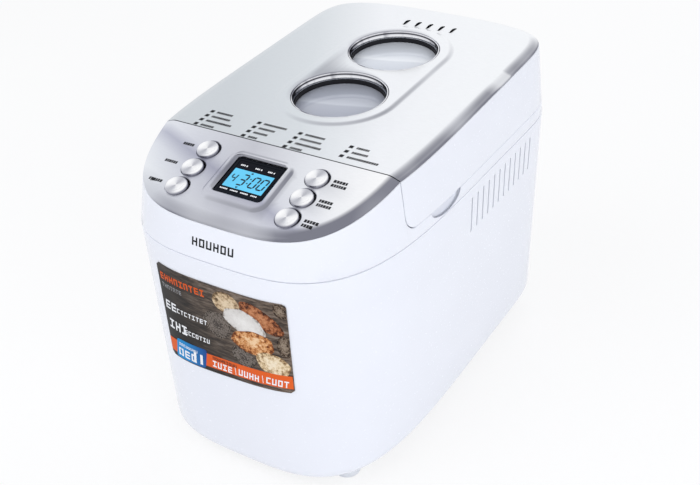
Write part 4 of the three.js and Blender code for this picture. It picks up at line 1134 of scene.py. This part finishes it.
def digit(bm, cx, cy, text, width, height, z, slant=0.14):
    """A seven-segment digit, with its origin in the middle."""
    thick = width * 0.27
    w, h = width / 2, height / 2
    bars = {
        "a": ((-w, h), (w, h)), "b": ((w, h), (w, 0)), "c": ((w, 0), (w, -h)),
        "d": ((-w, -h), (w, -h)),
        "e": ((-w, 0), (-w, -h)), "f": ((-w, h), (-w, 0)), "g": ((-w, 0), (w, 0)),
    }
    for key in SEGMENTS[text]:
        (x0, y0), (x1, y1) = bars[key]
        length = math.hypot(x1 - x0, y1 - y0)
        dx, dy = (x1 - x0) / length, (y1 - y0) / length
        gap = thick * 0.12
        outline = []
        for t, side in (
            (gap, 0), (gap + thick / 2, 1), (length - gap - thick / 2, 1), (length - gap, 0),
            (length - gap - thick / 2, -1), (gap + thick / 2, -1)
        ):
            px = x0 + dx * t - dy * side * thick / 2
            py = y0 + dy * t + dx * side * thick / 2
            outline.append(bm.verts.new((cx + px + slant * py, cy + py, z)))
        bm.faces.new(outline)


def flat_bar(bm, x0, x1, y0, y1, z):
    verts = [bm.verts.new(p) for p in ((x0, y0, z), (x1, y0, z), (x1, y1, z), (x0, y1, z))]
    bm.faces.new(verts)


def build_display():
    face = FACE * math.cos(PANEL_TILT)
    top = face - 0.0005
    matrix = slope_matrix(PANEL_TILT, 0, LCD_CENTRE)
    bm = bmesh.new()
    half_x, half_y = LCD_HALF
    loops = []
    for inset, z in (
        (0.0, -0.004), (0.0, top - 0.0006), (0.0003, top - 0.0002), (0.0007, top), (0.0030, top),
        (0.0032, top - 0.0004)
    ):
        loops.append(
            add_loop(
                bm, rounded_rectangle(half_x - inset, half_y - inset, 0.003 - inset * 0.6, 0, 0, 8),
                lambda x, y, z=z: z
            )
        )
    bridge_all(bm, loops)
    cap(bm, loops[-1])
    cap(bm, loops[0], False)
    piece(
        "lcd_frame", bm, lens_black(), "machine", "black_plastic", "lcd_bezel", matrix=matrix,
        smooth=35
    )

    bm = bmesh.new()
    flat_bar(bm, -0.0187, 0.0187, -0.0118, 0.0085, top - 0.0003)
    printed("lcd_screen", bm, LCD_LIGHT, "machine", "lcd_light", "lcd_module", matrix=matrix)

    bm = bmesh.new()
    z = top - 0.00025
    for text, cx, width, height in (
        ("4", -0.0140, 0.0040, 0.0085), ("3", -0.0050, 0.0052, 0.0115),
        ("0", 0.0058, 0.0052, 0.0115), ("0", 0.0138, 0.0052, 0.0115)
    ):
        digit(bm, cx, -0.0016, text, width, height, z)
    for y in (0.001, -0.004):
        flat_bar(bm, 0.0002 + 0.14 * y, 0.0014 + 0.14 * y, y - 0.0006, y + 0.0006, z)
    for cx, cy, up in ((-0.0012, 0.0068, 1), (-0.0058, -0.0103, -1)):
        bm.faces.new(
            [
                bm.verts.new(p)
                for p in (
                    (cx - 0.0013, cy - 0.0008 * up, z), (cx + 0.0013, cy - 0.0008 * up, z),
                    (cx, cy + 0.0011 * up, z)
                )
            ][::up]
        )
    printed("lcd_digits", bm, INK, "machine", "lcd_light", "lcd_module", matrix=matrix)

    bm = bmesh.new()
    z = top + 0.00005
    for cx in (-0.0125, 0.0015, 0.0135):
        for k in range(4):
            x0 = cx - 0.0036 + 0.0015 * k + (0.0008 if k == 3 else 0)
            flat_bar(bm, x0, x0 + 0.0011, 0.0118, 0.0134, z)
    for cx, count in ((-0.0150, 5), (-0.0052, 5), (0.0046, 5), (0.0144, 4)):
        for k in range(count):
            x0 = cx - 0.0035 + 0.0015 * k
            flat_bar(bm, x0, x0 + 0.0011, -0.0152, -0.0139, z)
    printed("lcd_marks", bm, PALE_INK, "machine", "lcd_glass", "lcd_lens", matrix=matrix)


def lens_black():
    return moulded(
        "display_black", (0.006, 0.008, 0.014), (0.003, 0.004, 0.008), 0.25, 0.0, 300, 0.01, 0.06
    )


# ---- print on the panels
def text_bars(bm, mapper, x, y, lengths, height, gap):
    """A word as a row of small blocks."""
    for length in lengths:
        corners = [
            mapper(a, b)
            for a, b in ((x, y), (x + length, y), (x + length, y + height), (x, y + height))
        ]
        bm.faces.new([bm.verts.new(c) for c in corners])
        x += length + gap
    return x


def word(count, size):
    return [size * random.uniform(0.7, 1.15) for _ in range(count)]


STROKES = {
    "top": (0, 0.8, 1, 1), "foot": (0, 0, 1, 0.2), "mid": (0, 0.4, 1, 0.6),
    "left": (0, 0, 0.28, 1), "right": (0.72, 0, 1, 1), "stem": (0.36, 0, 0.64, 1),
}
SHAPES = (
    ("left", "right", "mid"), ("left", "top", "foot"), ("left", "right", "foot"), ("top", "stem"),
    ("left", "right", "top"), ("left", "top", "mid", "foot"), ("left", "right", "top", "foot"),
    ("stem", "top", "foot"),
)


def letters(bm, mapper, x, z, count, width, height, slant=0.0, shapes=None):
    """A word of made-up block letters on a surface; mapper turns [x, z] into a place."""
    for shape in shapes or [random.choice(SHAPES) for _ in range(count)]:
        for key in shape:
            a, b, c, d = STROKES[key]
            corners = ((a, b), (c, b), (c, d), (a, d))
            places = [
                mapper(x + width * u + slant * height * v, z + height * v) for u, v in corners
            ]
            bm.faces.new([bm.verts.new(p) for p in places])
        x += width * 1.32
    return x


def build_panel_print():
    def on_panel(x, along):
        y = to_panel(along)
        return Vector((x, y, panel_edge(y) + FACE + PRINT_LIFT))

    def on_lid(x, y):
        return Vector((x, y, lid_edge(y) + FACE + PRINT_LIFT))

    bm = bmesh.new()
    for side, i, x, along in BUTTONS:
        if side == "left":
            text_bars(
                bm, on_panel, -0.0815 + 0.003 * (i == 0), along - 0.0014,
                word(6 - (i == 0), 0.0021), 0.0029, 0.0004
            )
        else:
            text_bars(bm, on_panel, 0.0660, along + 0.0006, word(5, 0.0022), 0.0029, 0.0004)
            text_bars(
                bm, on_panel, 0.0660, along - 0.0038, word(6 if i < 2 else 4, 0.0021), 0.0029,
                0.0004
            )
    printed("panel_print", bm, INK, "machine", "label_print", "control_fascia")

    bm = bmesh.new()
    columns = (
        (-0.084, -0.0795, (8, 9, 12, 7)), (-0.0352, -0.0795, (11, 8, 7, 4)),
        (0.0062, -0.08, (9, 11, 12, 6)), (0.0555, -0.081, (6, 7, 13))
    )
    for x, y, words in columns:
        for row, count in enumerate(words):
            top = y - 0.0076 * row
            text_bars(bm, on_lid, x - 0.0016, top - 0.0020, [0.0036], 0.0040, 0)
            text_bars(bm, on_lid, x + 0.0052, top - 0.0014, word(count, 0.0018), 0.0030, 0.0004)
    printed("lid_print", bm, INK, "lid", "label_print", "lid_top_panel")


# ---- front wall print
def front_y(x, offset):
    """Front wall at x for an offset of the outline."""
    p, q = FRONT_POWERS
    base = FRONT_REACH * (1 - abs(x / TOP_HALF) ** p) ** (1 / q)
    slope_x = p * abs(x / TOP_HALF) ** (p - 1) / TOP_HALF
    slope_y = q * (base / FRONT_REACH) ** (q - 1) / FRONT_REACH
    return WIDEST_Y - base - offset * math.hypot(slope_x, slope_y) / slope_y


def on_wall(x, z, lift):
    return Vector((x, front_y(x, housing_offset(z) + lift), z))


def on_collar(x, z, lift):
    edge = panel_edge(front_y(x, 0.003))
    share = share_at(z, edge)
    return Vector((x, front_y(x, flare_offset(share) + lift), z))


def wall_patch(bm, outline, mapper, lift, rings=1, layer=None):
    """A printed patch on the wall from its outline in x and z; rings step in to its middle."""
    cx = sum(p[0] for p in outline) / len(outline)
    cz = sum(p[1] for p in outline) / len(outline)
    previous = None
    for k in range(rings):
        t = 1 - k / rings
        loop = [
            bm.verts.new(mapper(cx + (x - cx) * t, cz + (z - cz) * t, lift)) for x, z in outline
        ]
        if layer is not None:
            for v in loop:
                v[layer] = 1 - t
        if previous:
            bridge(bm, previous, loop)
        previous = loop
    centre = bm.verts.new(mapper(cx, cz, lift))
    if layer is not None:
        centre[layer] = 1.0
    for i in range(len(previous)):
        bm.faces.new((previous[i], previous[(i + 1) % len(previous)], centre))


def grid_patch(bm, x0, x1, z0, z1, mapper, lift, slant=0.0, steps=None):
    steps = steps or max(1, int((x1 - x0) / 0.004))
    low = [bm.verts.new(mapper(x0 + (x1 - x0) * i / steps, z0, lift)) for i in range(steps + 1)]
    high = [
        bm.verts.new(mapper(x0 + (x1 - x0) * i / steps + slant * (z1 - z0), z1, lift))
        for i in range(steps + 1)
    ]
    for i in range(steps):
        bm.faces.new((low[i], low[i + 1], high[i + 1], high[i]))


def ellipse(cx, cz, a, b, turn=0.0, count=40, wobble=0.0, phase=0.0):
    points = []
    for i in range(count):
        t = 2 * math.pi * i / count
        r = 1 + wobble * math.sin(3 * t + phase) + wobble * 0.6 * math.sin(7 * t + 2 * phase)
        x, z = a * r * math.cos(t), b * r * math.sin(t)
        points.append(
            (
                cx + x * math.cos(turn) - z * math.sin(turn),
                cz + x * math.sin(turn) + z * math.cos(turn)
            )
        )
    return points


def wood_material():
    """Printed boards: black at the left, running to grey-brown streaks at the upper right."""
    m = new_material("label_ground")
    place = m.coordinates()
    streaks = m.noise(m.place((1, 1, 5), (0, math.radians(-14), 0)), 60.0, 6.0, 0.7)
    boards = m.ramp(streaks, [
        (0.32, (0.012, 0.010, 0.009)), (0.45, (0.075, 0.055, 0.043)), (0.56, (0.17, 0.125, 0.095)),
        (0.7, (0.30, 0.25, 0.21)),
    ])
    across = m.span(m.dot(place, (1, 0, 0.5)), 0.025, 0.105)
    colour = m.blend(across, (0.008, 0.007, 0.007), boards)
    m.feed("Base Color", colour)
    m.feed("Roughness", m.spread(streaks, 0.3, 0.5))
    m.feed("Specular IOR Level", 0.15)
    return m.owner


def crust_material(name, stops, speck, strength):
    """Printed bread: dark at its rim, light in its middle, with a mottled crust."""
    m = new_material(name)
    middle = m.add("Attribute", {}, attribute_name="middle").outputs["Fac"]
    mottle = m.noise(m.place(), speck, 5.0, 0.7)
    patchy = m.math("MULTIPLY", m.span(mottle, 0.32, 0.68), strength)
    share = m.math("ADD", m.math("MULTIPLY", middle, 0.5), patchy)
    m.feed("Base Color", m.ramp(share, stops))
    m.feed("Roughness", 0.5)
    m.feed("Specular IOR Level", 0.15)
    return m.owner


CRUSTS = {
    "seeded": [
        (0.25, (0.10, 0.06, 0.03)), (0.42, (0.40, 0.27, 0.15)), (0.6, (0.62, 0.47, 0.30)),
        (0.85, (0.74, 0.60, 0.42))
    ],
    "brown": [
        (0.25, (0.035, 0.012, 0.006)), (0.42, (0.17, 0.05, 0.02)), (0.6, (0.36, 0.12, 0.045)),
        (0.85, (0.55, 0.24, 0.11))
    ],
    "cloth": [
        (0.08, (0.25, 0.21, 0.18)), (0.2, (0.66, 0.63, 0.60)), (0.6, (0.82, 0.80, 0.77)),
        (0.85, (0.90, 0.88, 0.86))
    ],
    "grain": [
        (0.3, (0.02, 0.015, 0.012)), (0.45, (0.10, 0.08, 0.065)), (0.6, (0.26, 0.22, 0.19)),
        (0.75, (0.05, 0.04, 0.035))
    ],
    "braided": [
        (0.25, (0.10, 0.025, 0.008)), (0.42, (0.40, 0.13, 0.035)), (0.6, (0.66, 0.31, 0.11)),
        (0.85, (0.86, 0.60, 0.36))
    ],
    "pale": [
        (0.25, (0.20, 0.11, 0.05)), (0.42, (0.52, 0.36, 0.19)), (0.6, (0.78, 0.62, 0.40)),
        (0.85, (0.88, 0.76, 0.58))
    ],
    "dark": [
        (0.3, (0.012, 0.008, 0.006)), (0.45, (0.07, 0.045, 0.03)), (0.6, (0.17, 0.12, 0.085)),
        (0.8, (0.30, 0.24, 0.18))
    ],
}
# Pieces of the printed picture: crust, share of the label's width and height, half sizes,
# turn in degrees, wobble.
PICTURE = (
    ("grain", 0.66, 0.30, 0.0120, 0.0095, -20, 0.06),
    ("grain", 0.485, 0.585, 0.0140, 0.0130, 20, 0.04),
    ("dark", 0.965, 0.925, 0.0065, 0.0075, 15, 0.02),
    ("seeded", 0.575, 0.855, 0.0132, 0.0102, 0, 0.01),
    ("brown", 0.825, 0.79, 0.0215, 0.0088, -31, 0.012),
    ("cloth", 0.70, 0.69, 0.0200, 0.0120, -18, 0.05),
    ("dark", 0.965, 0.53, 0.0062, 0.0110, 0, 0.02),
    ("braided", 0.745, 0.495, 0.0200, 0.0118, 4, 0.04),
    ("pale", 0.875, 0.30, 0.0150, 0.0115, -16, 0.03),
)


def build_label():
    low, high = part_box("front_label")
    x0, x1, z0, z1 = low.x, high.x, low.z, high.z
    width, height = x1 - x0, z1 - z0
    top = FIT + 0.0003

    def at(u, v):
        """A place from its share of the label, whose lower edge rises to the right."""
        return x0 + width * u, z0 + height * (
            v + (1 - v) * (LABEL_LIFT[0] * (1 - u) + LABEL_LIFT[1] * u)
        )

    def sheet(bm, lift, u0, u1, v0, v1, corner, slant=0.0, columns=40, levels=8):
        """A rounded, slanted rectangle on the wall; returns its rows of vertices."""
        rows = []
        for i in range(columns + 1):
            t = i / columns
            near = min(t, 1 - t) * (u1 - u0) * width
            trim = (corner - math.sqrt(max(corner ** 2 - max(corner - near, 0) ** 2, 0))) / height
            row = []
            for k in range(levels + 1):
                v = v0 + trim + (v1 - v0 - 2 * trim) * k / levels
                row.append(
                    bm.verts.new(on_wall(*at(u0 + (u1 - u0) * t + slant * (v - v0), v), lift))
                )
            rows.append(row)
        for a, b in zip(rows, rows[1:]):
            for k in range(levels):
                bm.faces.new((a[k], b[k], b[k + 1], a[k + 1]))
        return rows

    def rim(rows):
        return [r[0] for r in rows] + rows[-1][1:] + [
            r[-1] for r in rows[-2::-1]
        ] + rows[0][-2:0:-1]

    bm = bmesh.new()
    bridge(bm, rim(sheet(bm, FIT, 0, 1, 0, 1, 0.003)), rim(sheet(bm, top, 0, 1, 0, 1, 0.003)))
    piece("label_sheet", bm, wood_material(), "machine", "label_print", "front_label", smooth=40)

    def patch(name, material, bm):
        printed(name, bm, material, "machine", "label_print", "front_label")

    for k, (crust, u, v, a, b, turn, wobble) in enumerate(PICTURE):
        bm = bmesh.new()
        layer = bm.verts.layers.float.new("middle")
        cx, cz = at(u, v)
        outline = ellipse(cx, cz, a, b, math.radians(turn), 40, wobble, 0.7 * k)
        edge = [(min(x, x1 - 0.0006), min(z, z1 - 0.0008)) for x, z in outline]
        wall_patch(bm, edge, on_wall, top + 0.00003 + 0.00001 * k, 6, layer)
        speck = 700.0 if crust in ("grain", "dark") else 330.0
        strength = 0.3 if crust == "cloth" else 0.75
        name = f"print_{crust}_{k + 1}"
        patch(name, crust_material(name, CRUSTS[crust], speck, strength), bm)

    def mapper(lift):
        return lambda x, z: on_wall(x, z, top + lift)

    orange = moulded("print_orange", (0.80, 0.13, 0.02), (0.72, 0.10, 0.012), 0.5, specular=0.15)
    bm = bmesh.new()
    sheet(bm, top + BAND_LIFT, 0.004, 0.996, 0.05, 0.20, 0.0)
    letters(bm, mapper(BAND_LIFT), *at(0.03, 0.845), 9, 0.0042, 0.0066)
    patch("print_orange_marks", orange, bm)

    m = new_material("print_blue")
    across = m.span(m.dot(m.coordinates(), (1, 0, 0)), x0, x0 + 0.045)
    stops = [(0.0, (0.01, 0.30, 0.66)), (0.45, (0.012, 0.25, 0.60)), (1.0, (0.006, 0.06, 0.27))]
    m.feed("Base Color", m.ramp(across, stops))
    m.feed("Specular IOR Level", 0.15)
    bm = bmesh.new()
    sheet(bm, top + BADGE_LIFT, 0.054, 0.325, 0.012, 0.235, 0.0025, 0.15)
    patch("print_blue_badge", m.owner, bm)

    bm = bmesh.new()
    words = (
        (0.030, 0.535, 2, 0.0056, 0.0090), (0.140, 0.540, 8, 0.0032, 0.0048),
        (0.035, 0.325, 3, 0.0058, 0.0098),
        (0.185, 0.335, 7, 0.0030, 0.0047), (0.082, 0.045, 3, 0.0058, 0.0085),
        (0.225, 0.045, 1, 0.0100, 0.0110),
        (0.100, 0.165, 8, 0.0021, 0.0028), (0.390, 0.070, 4, 0.0040, 0.0068),
        (0.600, 0.070, 4, 0.0040, 0.0068),
        (0.810, 0.070, 4, 0.0040, 0.0068),
    )
    for u, v, count, size, tall in words:
        letters(bm, mapper(WORD_LIFT), *at(u, v), count, size, tall, 0.12)
    for u in (0.575, 0.785):
        x, z = at(u, 0.06)
        grid_patch(bm, x, x + 0.0006, z, z + 0.008, on_wall, top + WORD_LIFT, 0.0, 1)
    patch("print_white_marks", PALE_INK, bm)

    grey = moulded("print_grey", (0.36, 0.36, 0.37), (0.28, 0.28, 0.29), 0.5, specular=0.1)
    bm = bmesh.new()
    letters(bm, mapper(WORD_LIFT), *at(0.032, 0.765), 7, 0.0026, 0.0042)
    patch("print_grey_marks", grey, bm)
    bm = bmesh.new()
    letters(bm, mapper(WORD_LIFT), *at(0.40, 0.155), 9, 0.0021, 0.0032)
    patch("print_dark_marks", INK, bm)


def build_front_mark():
    bm = bmesh.new()
    h, o, u = SHAPES[0], SHAPES[6], SHAPES[2]
    letters(
        bm, lambda x, z: on_collar(x, z, 0.00008), -0.0205, 0.2334, 6, 0.0052, 0.0068, 0.0,
        (h, o, u, h, o, u)
    )
    printed("front_mark", bm, INK, "machine", "label_print", "upper_collar")


# ---- feet
def build_feet():
    for name in ("foot_front_left", "foot_front_right", "foot_rear_left", "foot_rear_right"):
        low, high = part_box(name)
        centre = ((low.x + high.x) / 2, (low.y + high.y) / 2)
        r = (high.x - low.x) / 2
        bm = bmesh.new()
        turned(
            bm,
            [
                (0, 0), (r - 0.0032, 0), (r - 0.0018, 0.0004), (r - 0.0006, 0.0015), (r, 0.003),
                (r, 0.0099), (0, 0.0099)
            ],
            64, centre
        )
        piece(name + "_pad", bm, SOFT, "machine", "soft_white", name, smooth=40)


# ---- CAD nodes that stay as they are
CARRIED = {
    "base_plate": SOFT, "cord_inlet": BLACK, "control_board": BOARD, "lid_liner": ALUMINIUM,
    "lid_seal": RUBBER,
    "hinge_pin_left": STEEL, "hinge_pin_right": STEEL, "baking_chamber": OVEN,
    "heating_element": STEEL,
    "temperature_probe": STEEL, "pan_clip_front": STEEL, "pan_clip_rear": STEEL,
    "bread_pan": NONSTICK, "pan_bail": STEEL,
    "pan_shaft_front": STEEL, "pan_shaft_rear": STEEL, "paddle_front": NONSTICK,
    "paddle_rear": NONSTICK,
    "drive_shaft_front": STEEL, "drive_shaft_rear": STEEL, "shaft_bearing_front": BRASS,
    "shaft_bearing_rear": BRASS,
    "pulley_front": SOFT, "pulley_rear": SOFT, "belt_motor": RUBBER, "belt_cross": RUBBER,
    "motor_pulley": SOFT,
    "motor": STEEL, "motor_shaft": STEEL, "drive_chassis": STEEL, "motor_capacitor": SOFT,
    "power_board": BOARD,
}


def paint_carried():
    for name, material in CARRIED.items():
        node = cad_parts[name]
        node.data.materials.clear()
        node.data.materials.append(material)


# ---- floor, light, camera
def seen_directly(m):
    """1 for rays that show a surface to the camera, directly, in a reflection or through glass."""
    path = m.add("LightPath", {}).outputs
    total = m.math("ADD", path["Is Camera Ray"], path["Is Glossy Ray"])
    return m.math("MINIMUM", m.math("ADD", total, path["Is Transmission Ray"]), 1.0)


def floor_material():
    """A pale floor that keeps its shadows and looks white to the camera."""
    m = new_material("pale_floor")
    tone = m.noise(m.place(), 3.0)
    m.feed("Base Color", m.ramp(tone, [(0.3, (0.93, 0.935, 0.95)), (0.7, (0.92, 0.925, 0.94))]))
    m.feed("Roughness", 0.9)
    m.feed("Specular IOR Level", 0.0)
    share = m.math("MULTIPLY", seen_directly(m), 0.8)
    shader = m.tree.nodes["Principled BSDF"].outputs["BSDF"]
    mix = m.add(
        "MixShader", {"Fac": share, 1: shader, 2: m.add("Emission", {}).outputs["Emission"]}
    )
    m.put(m.tree.nodes["Material Output"].inputs["Surface"], mix.outputs["Shader"])
    return m.owner


def build_stage():
    bm = bmesh.new()
    size = 6.0
    flat_bar(bm, -size, size, -size, size, -0.0002)
    floor = make_object("floor", bm, floor_material(), smooth=None, recalc=False)
    world = bpy.data.worlds.new("studio")
    bpy.context.scene.world = world
    m = Nodes(world)
    m.tree.nodes.clear()
    plain = m.add("Background", {"Color": (0.93, 0.95, 1.0, 1), "Strength": 0.55})
    white = m.add("Background", {"Color": (1, 1, 1, 1)})
    mix = m.add("MixShader", {"Fac": seen_directly(m), 1: plain.outputs[0], 2: white.outputs[0]})
    m.add("OutputWorld", {"Surface": mix.outputs["Shader"]})
    add_light("key_softbox", (-0.9, -1.2, 1.9), 1.6, 18.0)
    add_light("fill_softbox", (1.7, -0.9, 1.2), 1.4, 17.0)
    add_light("back_softbox", (-0.2, 1.9, 1.7), 1.6, 12.0)


def add_light(name, place, size, power):
    data = bpy.data.lights.new(name, "AREA")
    data.size = size
    data.energy = power
    lamp = bpy.data.objects.new(name, data)
    bpy.context.scene.collection.objects.link(lamp)
    lamp.location = place
    lamp.visible_glossy = False
    lamp.rotation_mode = "QUATERNION"
    lamp.rotation_quaternion = (Vector((0, 0, 0.13)) - Vector(place)).to_track_quat("-Z", "Y")


def build_camera():
    azimuth, elevation, roll = math.radians(31.507), math.radians(32.934), math.radians(-2.096)
    target = Vector((0, 0.0328, 0.1109))
    back = Vector((
        math.sin(azimuth) * math.cos(elevation),
        -math.cos(azimuth) * math.cos(elevation),
        math.sin(elevation),
    ))
    data = bpy.data.cameras.new("photo_camera")
    data.lens = 52.9
    data.sensor_width = 36.0
    data.shift_x = -0.0286
    data.shift_y = -0.0021
    camera = bpy.data.objects.new("photo_camera", data)
    bpy.context.scene.collection.objects.link(camera)
    camera.location = target + back * 1.0146
    camera.rotation_mode = "QUATERNION"
    level = (-back).to_track_quat("-Z", "Y")
    camera.rotation_quaternion = level @ Matrix.Rotation(roll, 3, "Z").to_quaternion()
    bpy.context.scene.camera = camera


build_housing()
build_collar()
build_lid_shell()
build_lid_panel()
build_windows()
build_fascia()
build_buttons()
build_display()
build_panel_print()
build_label()
build_front_mark()
build_feet()
paint_carried()
build_stage()
build_camera()
bpy.context.scene.view_settings.view_transform = "Standard"
